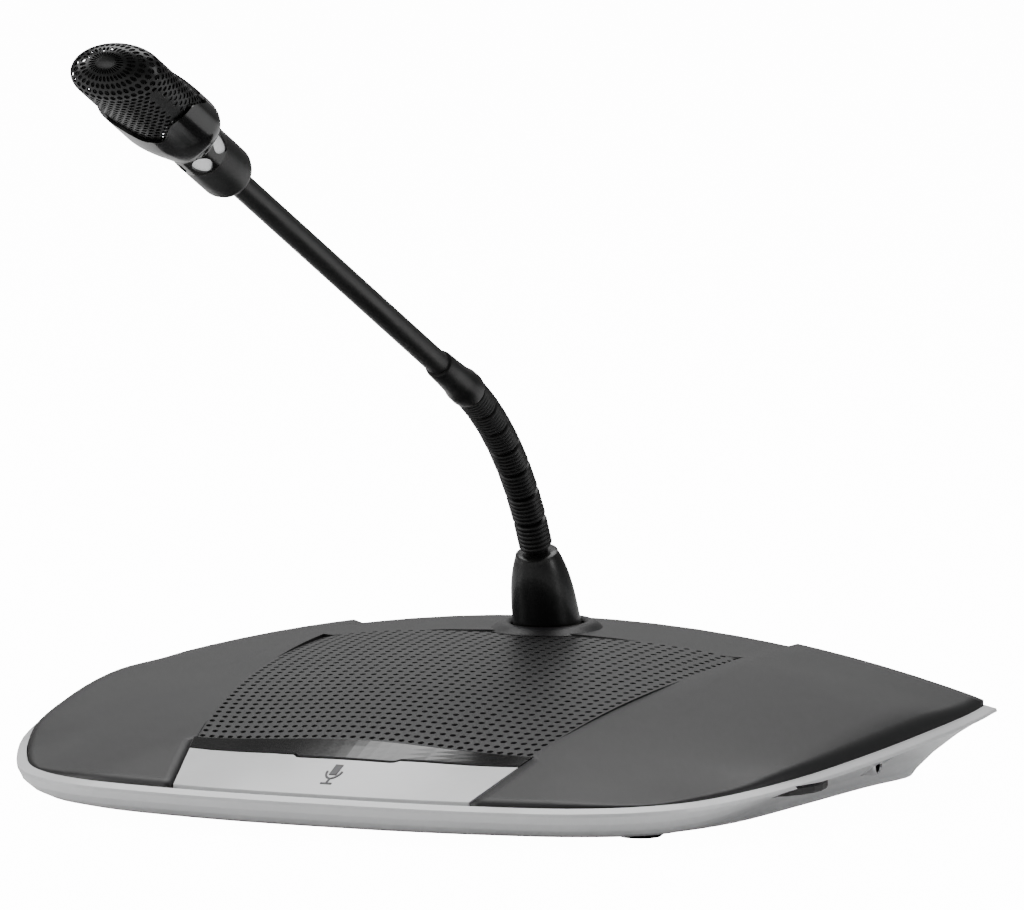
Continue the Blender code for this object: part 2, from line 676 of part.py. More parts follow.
def tapered_slab(rear_at, front_at, rows, thick, lift):
    """Slab between two edges, its columns fanned so that its ends follow the opening's sides."""
    tab = TAB_HALF / STRIP_HALF
    slope = (TAB_HALF - TAB_SLANT) / STRIP_HALF
    inner = [k * slope / 4.0 for k in range(5)]
    outer = [mix(tab, 1.0, k / 5.0) for k in range(6)]
    half = inner + [0.5 * (slope + tab)] + outer
    shares = [-s for s in reversed(half[1:])] + half
    bm = bmesh.new()
    upper, lower = [], []
    for share in shares:
        x_rear = slanted(share, BUTTON_TOP_Y)
        y_rear, y_front = rear_at(x_rear), front_at(x_rear)
        column = []
        for j in range(rows):
            y = mix(y_front, y_rear, j / (rows - 1))
            x = slanted(share, y)
            column.append((x, y, cover_height(x, y) + lift))
        upper.append([bm.verts.new(p) for p in column])
        lower.append([bm.verts.new((p[0], p[1], p[2] - thick)) for p in column])
    last = len(shares) - 1
    for i in range(last):
        for j in range(rows - 1):
            bm.faces.new((upper[i][j], upper[i + 1][j], upper[i + 1][j + 1], upper[i][j + 1]))
            bm.faces.new((lower[i][j], lower[i][j + 1], lower[i + 1][j + 1], lower[i + 1][j]))
        bm.faces.new((upper[i][0], lower[i][0], lower[i + 1][0], upper[i + 1][0]))
        bm.faces.new((upper[i][-1], upper[i + 1][-1], lower[i + 1][-1], lower[i][-1]))
    for j in range(rows - 1):
        bm.faces.new((upper[0][j], upper[0][j + 1], lower[0][j + 1], lower[0][j]))
        bm.faces.new((upper[last][j], lower[last][j], lower[last][j + 1], upper[last][j + 1]))
    return bm


HINGE_Y = BUTTON_TOP_Y - HINGE_BACK
HINGE_Z = cover_height(0.0, HINGE_Y) - HINGE_DROP - 2.0 * MM
CRADLE_FLOOR_Z = FLOOR_Z + TRAY_WALL + GAP
CRADLE_FRONT_Y = HINGE_Y - 4.6 * MM
CRADLE_REAR_Y = HINGE_Y + 3.4 * MM


def make_strip(parent):
    bm = tapered_slab(strip_rear_edge, lambda x: button_rear_edge(x) + GAP + WINDOW_GAP, 4, STRIP_THICK,
                      0.15 * MM)
    return solid("strip_window", bm, "gloss_black", parent)


def make_button(axis, cutters):
    """Wide rocker plate on its hinge axis, with two lugs that turn on the pin."""
    bm = tapered_slab(button_rear_edge, lambda x: rim_front_y(x) + BUTTON_FRONT_GAP, 6, BUTTON_THICK, 0.0)
    bmesh.ops.translate(bm, vec=(0.0, -HINGE_Y, -HINGE_Z), verts=bm.verts)
    button = solid("talk_button", bm, "button_grey", axis)
    for side in (-1.0, 1.0):
        tag = "left" if side < 0.0 else "right"
        top = cover_height(LUG_X, HINGE_Y) - HINGE_Z - 0.5 * BUTTON_THICK
        lug_bm = block((LUG_WIDTH, 2.0 * LUG_RADIUS, top + LUG_RADIUS), 0.0,
                       (0.0, 0.0, 0.5 * (top - LUG_RADIUS)))
        lug = cutter(f"join_lug_{tag}", lug_bm, axis, (side * LUG_X, 0.0, 0.0))
        combine(button, lug, "UNION")
    bore = cutter("cut_hinge_bore", rod(PIN_RADIUS + GAP, 80.0 * MM, 16), axis, (0.0, 0.0, 0.0),
                  (0.0, 0.5 * math.pi, 0.0))
    combine(button, bore, "DIFFERENCE")
    return button


def make_button_works(root):
    """Pin, cradle, return spring, switch and light guide behind the button."""
    solid("hinge_pin", rod(PIN_RADIUS, 2.0 * PIN_HALF, 16), "steel", root, (0.0, HINGE_Y, HINGE_Z),
          (0.0, 0.5 * math.pi, 0.0))
    depth = CRADLE_REAR_Y - CRADLE_FRONT_Y
    height = HINGE_Z + PIN_RADIUS + 0.8 * MM - CRADLE_FLOOR_Z
    half = PIN_HALF - 3.0 * MM
    plan_x = (-half - CRADLE_WALL, -half, half, half + CRADLE_WALL)
    floor_top = CRADLE_FLOOR_Z + CRADLE_WALL
    top = CRADLE_FLOOR_Z + height
    section = [(plan_x[0], CRADLE_FLOOR_Z), (plan_x[3], CRADLE_FLOOR_Z), (plan_x[3], top),
               (plan_x[2], top), (plan_x[2], floor_top), (plan_x[1], floor_top), (plan_x[1], top),
               (plan_x[0], top)]
    rings = [[(x, y, z) for x, z in section] for y in (CRADLE_REAR_Y, CRADLE_REAR_Y - depth)]
    cradle = solid("button_cradle", skinned(rings), "satin_black", root)
    bore = cutter("cut_cradle_bore", rod(PIN_RADIUS + GAP, 90.0 * MM, 16), root, (0.0, HINGE_Y, HINGE_Z),
                  (0.0, 0.5 * math.pi, 0.0))
    combine(cradle, bore, "DIFFERENCE")
    spring_y = HINGE_Y - PIN_RADIUS - SPRING_RADIUS - CLEAR
    spring_top = cover_height(SPRING_X, spring_y - SPRING_RADIUS) - BUTTON_THICK - 2.0 * GAP - SWITCH_TRAVEL
    for side in (-1.0, 1.0):
        tag = "left" if side < 0.0 else "right"
        leaf_z = 0.5 * (floor_top + GAP + spring_top)
        tall = spring_top - floor_top - GAP
        bm = turned([(0.7 * MM, -0.5 * tall), (SPRING_RADIUS, -0.5 * tall), (SPRING_RADIUS, 0.5 * tall),
                     (0.7 * MM, 0.5 * tall)], 12, closed=True)
        solid(f"button_spring_{tag}", bm, "steel", root, (side * SPRING_X, spring_y, leaf_z))
    switch_y = CRADLE_FRONT_Y - 2.2 * MM
    under = cover_height(0.0, switch_y - 1.7 * MM) - BUTTON_THICK - SWITCH_TRAVEL - GAP
    switch_low = CRADLE_FLOOR_Z + 1.2 * MM
    solid("talk_switch", block((5.0 * MM, 3.4 * MM, under - switch_low)), "satin_black", root,
          (0.0, switch_y, 0.5 * (under + switch_low)))
    columns = list(np.linspace(-0.72 * STRIP_HALF, 0.72 * STRIP_HALF, 11))
    guide = surface_slab(columns, lambda x: [strip_rear_edge(x) - 4.2 * MM, strip_rear_edge(x) - 1.6 * MM],
                         1.6 * MM, 0.15 * MM - STRIP_THICK - GAP)
    solid("light_guide", guide, "clear", root)


# =================================================================================================
# loudspeaker, board and ballast
# =================================================================================================
def make_speaker(root):
    """Loudspeaker under the grille field, tilted with the field's slope."""
    face = cover_height(0.0, SPEAKER_Y) - SPEAKER_DROP - COVER_WALL
    axis = empty("speaker_axis", root, (0.0, SPEAKER_Y, face), (SPEAKER_TILT, 0.0, 0.0))
    r, g = SPEAKER_RADIUS, GASKET_THICK
    solid("speaker_gasket", turned([(CONE_RADIUS + 1.0 * MM, -g), (r, -g), (r, 0.0),
                                    (CONE_RADIUS + 1.0 * MM, 0.0)], 24, closed=True), "foam", axis)
    top = -g - GAP
    low = top - FRAME_DEPTH
    wall = 1.0 * MM
    neck = MAGNET_RADIUS - 3.0 * MM
    frame = [(r, top), (r, top - wall), (CONE_RADIUS + 1.0 * MM, top - wall), (neck + wall, low),
             (5.0 * MM, low), (5.0 * MM, low + wall), (neck, low + wall), (CONE_RADIUS, top)]
    solid("speaker_frame", turned(frame, 24, closed=True), "steel", axis)
    edge = CONE_RADIUS - 2.2 * MM
    dip = low + wall + 1.0 * MM
    cone = [(0.0, dip + 1.6 * MM), (5.0 * MM, dip + 1.0 * MM), (8.0 * MM, dip + 0.6 * MM),
            (edge, top - 0.1 * MM), (edge, top - 0.7 * MM), (8.5 * MM, dip), (0.0, dip)]
    solid("speaker_cone", turned(cone, 24), "paper", axis)
    m_top, m_low = low - GAP, low - GAP - MAGNET_DEPTH
    magnet = [(0.0, m_top), (MAGNET_RADIUS - 1.0 * MM, m_top), (MAGNET_RADIUS, m_top - 1.0 * MM),
              (MAGNET_RADIUS, m_low + 1.0 * MM), (MAGNET_RADIUS - 1.0 * MM, m_low), (0.0, m_low)]
    solid("speaker_magnet", turned(magnet, 24), "steel", axis)


def make_cloth(root):
    """Black cloth under the grille field."""
    rows = [PANEL_FRONT_Y + PANEL_DEPTH * (k + 0.5) / 9.0 for k in range(9)]
    shares = np.linspace(-0.94, 0.94, 11)
    bm = bmesh.new()
    upper, lower = [], []
    for y in rows:
        line = [(s * field_half(y), y, cover_height(s * field_half(y), y) - COVER_WALL - 0.9 * MM)
                for s in shares]
        upper.append([bm.verts.new(p) for p in line])
        lower.append([bm.verts.new((p[0], p[1], p[2] - 0.5 * MM)) for p in line])
    n, m = len(rows) - 1, len(shares) - 1
    for i in range(n):
        for j in range(m):
            bm.faces.new((upper[i][j], upper[i][j + 1], upper[i + 1][j + 1], upper[i + 1][j]))
            bm.faces.new((lower[i][j], lower[i + 1][j], lower[i + 1][j + 1], lower[i][j + 1]))
        bm.faces.new((upper[i][0], upper[i + 1][0], lower[i + 1][0], lower[i][0]))
        bm.faces.new((upper[i][m], lower[i][m], lower[i + 1][m], upper[i + 1][m]))
    for j in range(m):
        bm.faces.new((upper[0][j], lower[0][j], lower[0][j + 1], upper[0][j + 1]))
        bm.faces.new((upper[n][j], upper[n][j + 1], lower[n][j + 1], lower[n][j]))
    solid("grille_cloth", bm, "foam", root)


BALLAST_Z = FLOOR_Z + TRAY_WALL + GAP + 0.5 * BALLAST[2]
BOARD_Z = BALLAST_Z + 0.5 * BALLAST[2] + GAP + 0.5 * BOARD[2]
BOARD_TOP = BOARD_Z + 0.5 * BOARD[2]
BOARD_Y = 6.0 * MM


def make_board(root):
    """Circuit board over a steel ballast plate, both on the tray's floor."""
    solid("ballast_plate", block(BALLAST, 0.4 * MM), "steel", root, (0.0, BOARD_Y, BALLAST_Z))
    board = solid("main_board", block(BOARD), "board_green", root, (0.0, BOARD_Y, BOARD_Z))
    hole = cutter("cut_board", rod(BOARD_HOLE, 4.0 * MM, 32), root, (0.0, SPEAKER_Y, BOARD_Z))
    combine(board, hole, "DIFFERENCE")


# =================================================================================================
# side controls
# =================================================================================================
WHEEL_X = wall_x(WHEEL_Y, WHEEL_Z) + WHEEL_PROUD - WHEEL_RADIUS
JACK_X = wall_x(JACK_Y, JACK_Z)


def make_side_controls(root, tray, cover, cutters):
    """A volume thumbwheel in a slot and a headphone jack on each side."""
    for side, tag in ((1.0, "right"), (-1.0, "left")):
        grip = WHEEL_RADIUS
        half = 0.5 * WHEEL_THICK
        rim = 0.35 * MM
        wheel = [(2.2 * MM, -half), (grip - rim, -half), (grip, -half + rim), (grip, half - rim),
                 (grip - rim, half), (2.2 * MM, half)]
        axis = empty(f"wheel_axis_{tag}", root, (side * WHEEL_X, WHEEL_Y, WHEEL_Z))
        solid(f"volume_wheel_{tag}", turned(wheel, 28, closed=True), "satin_black", axis)
        slot = cutter(f"cut_slot_{tag}", rod(grip + CLEAR, WHEEL_THICK + 1.2 * CLEAR, 28), cutters,
                      (side * WHEEL_X, WHEEL_Y, WHEEL_Z))
        combine(tray, slot, "DIFFERENCE")
        combine(cover, slot, "DIFFERENCE")
        low = BOARD_TOP + GAP
        pot = [(0.0, low), (3.6 * MM, low), (3.6 * MM, WHEEL_Z - half - GAP), (1.7 * MM, WHEEL_Z - half - GAP),
               (1.7 * MM, WHEEL_Z + half + 0.4 * MM), (0.0, WHEEL_Z + half + 0.4 * MM)]
        solid(f"volume_pot_{tag}", turned(pot, 16), "satin_black", root, (side * WHEEL_X, WHEEL_Y, 0.0))
        turn = (0.0, side * 0.5 * math.pi, 0.0)
        bore = cutter(f"cut_jack_{tag}", rod(JACK_RING + GAP, 2.0 * JACK_SLEEVE + 3.0 * MM, 16), cutters,
                      (side * JACK_X, JACK_Y, JACK_Z), turn)
        combine(tray, bore, "DIFFERENCE")
        ring = [(JACK_BORE, -JACK_SLEEVE), (JACK_RING, -JACK_SLEEVE), (JACK_RING, -0.2 * MM),
                (JACK_RING - 0.4 * MM, 0.2 * MM), (JACK_BORE + 0.3 * MM, 0.2 * MM), (JACK_BORE, -0.2 * MM)]
        solid(f"jack_ring_{tag}", turned(ring, 16, closed=True), "chrome", root,
              (side * (JACK_X - 0.4 * MM), JACK_Y, JACK_Z), turn)
        body_x = JACK_X - 0.4 * MM - JACK_SLEEVE - GAP - 0.5 * JACK_BODY[0]
        body = solid(f"headphone_jack_{tag}", block(JACK_BODY, 0.4 * MM), "satin_black", root,
                     (side * body_x, JACK_Y, JACK_Z))
        well = cutter(f"cut_jack_well_{tag}", rod(JACK_BORE, 16.0 * MM, 16), root,
                      (side * (body_x + 6.0 * MM), JACK_Y, JACK_Z), turn)
        combine(body, well, "DIFFERENCE")


# =================================================================================================
# underside and rear
# =================================================================================================
def make_underside(root, tray, cutters):
    """Four rubber feet in pockets, and four screws up through the floor."""
    foot_top = FLOOR_Z + FOOT_SINK - GAP
    profile = [(0.0, 0.0), (FOOT_RADIUS - 0.5 * MM, 0.0), (FOOT_RADIUS, 0.4 * MM), (FOOT_RADIUS, foot_top),
               (0.0, foot_top)]
    first = None
    for side, tag in ((1.0, "right"), (-1.0, "left")):
        for place, y in (("front", FOOT_FRONT_Y), ("rear", FOOT_REAR_Y)):
            name = f"foot_{place}_{tag}"
            where = (side * FOOT_X, y, 0.0)
            if first is None:
                first = solid(name, turned(profile, 16), "rubber", root, where)
            else:
                copy_of(first, name, root, where)
            pocket = cutter(f"cut_{name}", rod(FOOT_RADIUS + GAP, 2.0 * FOOT_SINK, 16), cutters,
                            (side * FOOT_X, y, FLOOR_Z))
            combine(tray, pocket, "DIFFERENCE")
    head_top = FLOOR_Z + 0.5 * TRAY_WALL
    screw = [(0.0, FLOOR_Z + 0.2 * MM), (SCREW_HEAD_RADIUS, FLOOR_Z + 0.2 * MM), (SCREW_HEAD_RADIUS, head_top),
             (SCREW_SHANK_RADIUS, head_top + 0.6 * MM), (SCREW_SHANK_RADIUS, head_top + SCREW_LENGTH),
             (0.0, head_top + SCREW_LENGTH)]
    first = None
    for side, tag in ((1.0, "right"), (-1.0, "left")):
        for place, y in (("front", SCREW_Y[0]), ("rear", SCREW_Y[1])):
            name = f"screw_{place}_{tag}"
            where = (side * SCREW_X, y, 0.0)
            if first is None:
                first = solid(name, turned(screw, 12), "steel", root, where)
            else:
                copy_of(first, name, root, where)
            bore = [(0.0, -1.0 * MM), (SCREW_HEAD_RADIUS + GAP, -1.0 * MM),
                    (SCREW_HEAD_RADIUS + GAP, head_top + 0.2 * MM),
                    (SCREW_SHANK_RADIUS + GAP, head_top + 0.8 * MM),
                    (SCREW_SHANK_RADIUS + GAP, head_top + SCREW_LENGTH + 2.0 * MM),
                    (0.0, head_top + SCREW_LENGTH + 2.0 * MM)]
            combine(tray, cutter(f"cut_{name}", turned(bore, 12), cutters, where), "DIFFERENCE")


def make_rear(root):
    """Round loop-through socket and the trunk cable's gland in the cover's rear wall."""
    back = (-0.5 * math.pi, 0.0, 0.0)
    inner = -PORT_LENGTH
    socket = [(0.0, inner), (PORT_BARREL, inner), (PORT_BARREL, GAP), (PORT_FLANGE, GAP),
              (PORT_FLANGE, 1.0 * MM), (PORT_FLANGE - 0.5 * MM, 1.5 * MM), (PORT_RECESS, 1.5 * MM),
              (PORT_RECESS, -7.0 * MM), (0.0, -7.0 * MM)]
    solid("rear_socket", turned(socket, 20), "satin_black", root, (-PORT_X, REAR_WALL_Y, PORT_Z), back)
    gland = [(GLAND_BORE, -7.0 * MM), (GLAND_RADIUS, -7.0 * MM), (GLAND_RADIUS, GAP),
             (GLAND_RADIUS + 1.0 * MM, GAP), (GLAND_RADIUS + 0.7 * MM, 1.3 * MM),
             (GLAND_BORE + 0.8 * MM, 2.2 * MM), (GLAND_BORE, 2.2 * MM)]
    solid("cable_gland", turned(gland, 16, closed=True), "rubber", root, (PORT_X, REAR_WALL_Y, PORT_Z), back)


# =================================================================================================
# gooseneck and microphone head
# =================================================================================================
def make_socket(root):
    """Collar on the cover, and the nut and connector that hold the sleeve; returns the sleeve's axis."""
    base_z = cover_height(0.0, SOCKET_Y)
    bm = bmesh.new()
    inner = SLEEVE_BOTTOM_RADIUS + COLLAR_GAP
    section = ((inner, 0.0), (COLLAR_RADIUS, 0.0), (COLLAR_RADIUS - 0.3 * MM, 0.25), (inner + 1.6 * MM, 0.9),
               (inner + 0.8 * MM, 1.0), (inner, 0.9))
    rings = []
    for k in range(24):
        angle = 2.0 * math.pi * k / 24
        ring = []
        for radius, share in section:
            x, y = radius * math.cos(angle), SOCKET_Y + radius * math.sin(angle)
            tall = COLLAR_HEIGHT * (1.0 + COLLAR_LEAN * math.sin(angle))
            ring.append(bm.verts.new((x, y, cover_height(x, y) + GAP + share * tall)))
        rings.append(ring)
    for k in range(24):
        low, high = rings[k], rings[(k + 1) % 24]
        for j in range(len(section)):
            n = (j + 1) % len(section)
            bm.faces.new((low[j], low[n], high[n], high[j]))
    solid("socket_collar", bm, "anthracite", root)
    seat = empty("socket_axis", root, (0.0, SOCKET_Y, base_z), (SLEEVE_TILT, 0.0, 0.0))
    nut = turned([(CONNECTOR_RADIUS + GAP, NUT_TOP - NUT_THICK), (NUT_RADIUS, NUT_TOP - NUT_THICK),
                  (NUT_RADIUS, NUT_TOP), (CONNECTOR_RADIUS + GAP, NUT_TOP)], 16, closed=True)
    solid("socket_nut", nut, "brass", seat)
    plug = [(0.0, NUT_TOP - NUT_THICK - 1.5 * MM), (CONNECTOR_RADIUS, NUT_TOP - NUT_THICK - 1.5 * MM),
            (CONNECTOR_RADIUS, SLEEVE_START - GAP), (0.0, SLEEVE_START - GAP)]
    solid("mic_connector", turned(plug, 24), "brass", seat)
    return seat


def make_sleeve(seat):
    """Bell-shaped sleeve; its top face is a shallow cone so that the first segment can tilt on it."""
    low, wide, top = SLEEVE_START, SLEEVE_BOTTOM_RADIUS, SLEEVE_START + SLEEVE_LENGTH
    narrow = SLEEVE_TOP_RADIUS
    span = wide - narrow
    body = [(wide - 0.4 * MM, low), (wide, low + 0.5 * MM)]
    for k in range(1, 6):
        share = k / 5.0
        body.append((wide - span * (0.30 * share + 0.70 * share ** 3.2), mix(low, top - RELIEF, share)))
    solid("stem_sleeve", turned([(0.0, low)] + body + [(0.0, top - 0.5 * FLEX_GAP)], 24), "gloss_black", seat)
    return top


def make_flex(seat, start):
    """Segments of the flexible part, each carried by the one before; returns the last joint."""
    length = FLEX_ARC / FLEX_COUNT
    half = 0.5 * (length - FLEX_GAP)
    edge = half - RELIEF * (FLEX_RADIUS - FLEX_BORE) / FLEX_RADIUS
    profile = [(FLEX_BORE, -half), (FLEX_RADIUS, -edge), (FLEX_RADIUS, edge), (FLEX_BORE, half)]
    step = (FLEX_END - FLEX_START) / (FLEX_COUNT + 1)
    joint = empty("neck_joint_1", seat, (0.0, 0.0, start), (FLEX_START + step - SLEEVE_TILT, 0.0, 0.0))
    for k in range(1, FLEX_COUNT + 1):
        solid(f"flex_{k}", turned(profile, 16, closed=True), "satin_black", joint, (0.0, 0.0, 0.5 * length))
        joint = empty(f"neck_joint_{k + 1}", joint, (0.0, 0.0, length), (step, 0.0, 0.0))
    return joint


def make_stem(joint):
    """Bush and straight tube above the flexible part; returns the tube's upper end."""
    tip = BUSH_LENGTH
    hold = TUBE_RADIUS + GAP
    bush = [(0.0, 0.5 * FLEX_GAP), (BUSH_RADIUS_LOW, RELIEF), (BUSH_RADIUS_LOW, 3.0 * MM),
            (BUSH_RADIUS_HIGH, tip - 0.4 * MM), (BUSH_RADIUS_HIGH - 0.2 * MM, tip), (hold, tip),
            (hold, tip - TUBE_INSERT), (0.0, tip - TUBE_INSERT)]
    solid("joint_bush", turned(bush, 20), "satin_black", joint)
    low = tip - TUBE_INSERT + GAP
    high = tip + TUBE_LENGTH + TUBE_INSERT - GAP
    tube = [(TUBE_BORE, low), (TUBE_RADIUS, low), (TUBE_RADIUS, high), (TUBE_BORE, high)]
    solid("stem_tube", turned(tube, 16, closed=True), "satin_black", joint)
    return tip + TUBE_LENGTH


def opened(height):
    """How far the flare behind the cup has opened at a height, 0 to 1."""
    t = min(max((height - NECK_LENGTH) / (CUP_REACH - NECK_LENGTH), 0.0), 1.0)
    return t * (1.12 - 0.12 * t)


def flare(height):
    """Half height of the flare between the round neck and the oval cup."""
    return mix(NECK_RADIUS, CUP_HALF, opened(height))


def cup_wide(height):
    return mix(1.0, CUP_WIDE, opened(height))


def basket_wide(_height):
    return BASKET_WIDE


def make_head(joint, start):
    """Microphone head: neck, light ring, cup, basket, foam, capsule and its rubber mount."""
    head = empty("head_axis", joint, (0.0, 0.0, start))
    hold = TUBE_RADIUS + GAP
    neck = [(0.0, TUBE_INSERT), (hold, TUBE_INSERT), (hold, 0.0), (NECK_RADIUS - NECK_ROUND, 0.0),
            (NECK_RADIUS - 0.35 * NECK_ROUND, 0.35 * NECK_ROUND), (NECK_RADIUS, NECK_ROUND),
            (NECK_RADIUS, NECK_LENGTH), (0.0, NECK_LENGTH)]
    solid("head_neck", turned(neck, 20), "gloss_black", head)
    ring_low, ring_high = NECK_LENGTH + GAP, NECK_LENGTH + GAP + RING_LENGTH
    inset = 0.6 * MM
    ring = [(0.0, ring_low), (flare(ring_low) - inset, ring_low), (flare(ring_high) - inset, ring_high),
            (0.0, ring_high)]
    solid("light_ring", turned(ring, 20, wide=cup_wide), "light_white", head)
    cup_low = ring_high + GAP
    outer = [(flare(z), z) for z in np.linspace(cup_low, CUP_REACH, 4)] + [(CUP_HALF, CUP_RIM)]
    inner = [(CUP_HALF - CUP_WALL, CUP_RIM), (CUP_HALF - CUP_WALL, CUP_REACH),
             (flare(cup_low + 3.0 * MM) - CUP_WALL, cup_low + 3.0 * MM), (0.0, cup_low + 3.0 * MM)]
    solid("head_cup", turned([(0.0, cup_low)] + outer + inner, 28, wide=cup_wide), "gloss_black", head)
    basket_low = CUP_REACH + GAP
    dome = HEAD_LENGTH - BASKET_DOME
    hollow = BASKET_HALF - BASKET_WALL
    basket, lining = [], []
    for k in range(6):
        angle = 0.5 * math.pi * k / 5
        basket.append((BASKET_HALF * math.cos(angle), dome + BASKET_DOME * math.sin(angle)))
        lining.append((hollow * math.cos(angle), dome + (BASKET_DOME - BASKET_WALL) * math.sin(angle)))
    basket[-1], lining[-1] = (0.0, basket[-1][1]), (0.0, lining[-1][1])
    skin = [(hollow, basket_low), (BASKET_HALF, basket_low)] + basket + lining[::-1] + [(hollow, basket_low)]
    solid("head_basket", turned(skin, 28, wide=basket_wide), "satin_black", head, angle=50.0)
    soft = hollow - GAP
    foam_low = dome - 8.0 * MM
    foam = [(0.0, foam_low), (soft, foam_low)]
    for k in range(5):
        angle = 0.1 * math.pi * k
        foam.append((soft * math.cos(angle), dome + (BASKET_DOME - 1.0 * MM) * math.sin(angle)))
    foam.append((0.0, dome + BASKET_DOME - 1.0 * MM))
    solid("basket_foam", turned(foam, 20, wide=basket_wide), "foam", head)
    capsule_low = foam_low - GAP - CAPSULE_LENGTH
    capsule = [(0.0, capsule_low), (CAPSULE_RADIUS, capsule_low), (CAPSULE_RADIUS, foam_low - GAP),
               (0.0, foam_low - GAP)]
    solid("mic_capsule", turned(capsule, 16), "brass", head)
    mount = [(CAPSULE_RADIUS + GAP, capsule_low), (soft, capsule_low), (soft, capsule_low + 4.0 * MM),
             (CAPSULE_RADIUS + GAP, capsule_low + 4.0 * MM)]
    solid("capsule_mount", turned(mount, 16, closed=True), "rubber", head)
    return head, dome


def run():
    clear_scene()
    root = empty("base_origin", None)
    cutters = empty("cutters", root)
    tray = make_tray(root)
    cover = make_cover(root, cutters)
    make_strip(root)
    button_axis = empty("button_axis", root, (0.0, HINGE_Y, HINGE_Z))
    make_button(button_axis, cutters)
    make_button_works(root)
    make_speaker(root)
    make_cloth(root)
    make_board(root)
    make_side_controls(root, tray, cover, cutters)
    make_underside(root, tray, cutters)
    make_rear(root)
    seat = make_socket(root)
    neck = make_flex(seat, make_sleeve(seat))
    head, dome = make_head(neck, make_stem(neck))
    bpy.context.view_layer.update()
    reach = math.hypot(BASKET_HALF * math.cos(FLEX_END), BASKET_DOME * math.sin(FLEX_END))
    front = (head.matrix_world @ Vector((0.0, 0.0, dome))).y - reach
    root.location.y = -0.5 * (front + 0.5 * BASE_DEPTH)


run()
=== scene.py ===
"""Looks of the desk discussion unit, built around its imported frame."""

import json
import math

import bmesh
import bpy
import numpy as np
from mathutils import Matrix, Vector


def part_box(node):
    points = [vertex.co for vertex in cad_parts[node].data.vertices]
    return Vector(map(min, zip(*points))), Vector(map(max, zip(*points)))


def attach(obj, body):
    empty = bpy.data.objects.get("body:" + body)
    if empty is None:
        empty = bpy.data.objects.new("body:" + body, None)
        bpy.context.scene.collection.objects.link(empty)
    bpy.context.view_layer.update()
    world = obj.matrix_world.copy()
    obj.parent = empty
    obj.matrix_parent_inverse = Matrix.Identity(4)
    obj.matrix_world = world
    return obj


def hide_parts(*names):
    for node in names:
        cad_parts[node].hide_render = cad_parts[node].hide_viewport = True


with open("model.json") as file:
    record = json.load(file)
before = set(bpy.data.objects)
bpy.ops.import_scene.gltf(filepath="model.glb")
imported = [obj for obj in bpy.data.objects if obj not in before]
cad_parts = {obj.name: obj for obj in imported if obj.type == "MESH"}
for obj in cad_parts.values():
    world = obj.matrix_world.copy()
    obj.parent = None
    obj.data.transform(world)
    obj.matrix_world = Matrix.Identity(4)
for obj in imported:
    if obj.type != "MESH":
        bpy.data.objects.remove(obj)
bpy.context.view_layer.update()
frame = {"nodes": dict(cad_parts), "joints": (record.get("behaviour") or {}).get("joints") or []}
MM = 0.001

# =================================================================================================
# feet and bottom screws
# Real pieces: four matt rubber pads pressed into shallow pockets of the tray, and four plated
# steel screws driven up through the tray to hold the cover.
# =================================================================================================
def make_skin_group():
    """Fine grain over a slow mottle, which every moulded, painted or metal skin here shares."""
    group = bpy.data.node_groups.new("skin_grain", "ShaderNodeTree")
    for label, kind in (("Fine Position", "Vector"), ("Slow Position", "Vector"),
                        ("Dark Colour", "Color"), ("Light Colour", "Color"),
                        ("Least Roughness", "Float"), ("Most Roughness", "Float"),
                        ("Relief", "Float")):
        group.interface.new_socket(label, in_out="INPUT", socket_type=f"NodeSocket{kind}")
    for label, kind in (("Colour", "Color"), ("Roughness", "Float"), ("Normal", "Vector")):
        group.interface.new_socket(label, in_out="OUTPUT", socket_type=f"NodeSocket{kind}")
    entry, leave = group.nodes.new("NodeGroupInput"), group.nodes.new("NodeGroupOutput")
    fine, slow = group.nodes.new("ShaderNodeTexNoise"), group.nodes.new("ShaderNodeTexNoise")
    fine.inputs["Scale"].default_value, fine.inputs["Detail"].default_value = 1.0, 3.0
    slow.inputs["Scale"].default_value, slow.inputs["Detail"].default_value = 45.0, 2.0
    group.links.new(entry.outputs["Fine Position"], fine.inputs["Vector"])
    group.links.new(entry.outputs["Slow Position"], slow.inputs["Vector"])
    both = group.nodes.new("ShaderNodeMath")
    both.operation = "MULTIPLY_ADD"
    both.inputs[1].default_value = 0.5
    group.links.new(fine.outputs["Fac"], both.inputs[0])
    group.links.new(slow.outputs["Fac"], both.inputs[2])
    spread = group.nodes.new("ShaderNodeMapRange")
    spread.inputs["From Min"].default_value, spread.inputs["From Max"].default_value = 0.35, 1.10
    group.links.new(both.outputs["Value"], spread.inputs["Value"])
    tint = group.nodes.new("ShaderNodeMix")
    tint.data_type = "RGBA"
    group.links.new(spread.outputs["Result"], tint.inputs[0])
    group.links.new(entry.outputs["Dark Colour"], tint.inputs[6])
    group.links.new(entry.outputs["Light Colour"], tint.inputs[7])
    group.links.new(tint.outputs[2], leave.inputs["Colour"])
    dull = group.nodes.new("ShaderNodeMapRange")
    dull.inputs["From Min"].default_value, dull.inputs["From Max"].default_value = 0.3, 0.7
    group.links.new(slow.outputs["Fac"], dull.inputs["Value"])
    group.links.new(entry.outputs["Least Roughness"], dull.inputs["To Min"])
    group.links.new(entry.outputs["Most Roughness"], dull.inputs["To Max"])
    group.links.new(dull.outputs["Result"], leave.inputs["Roughness"])
    relief = group.nodes.new("ShaderNodeBump")
    relief.inputs["Distance"].default_value = 0.1 * MM
    group.links.new(entry.outputs["Relief"], relief.inputs["Strength"])
    group.links.new(fine.outputs["Fac"], relief.inputs["Height"])
    group.links.new(relief.outputs["Normal"], leave.inputs["Normal"])
    return group


SKIN = make_skin_group()


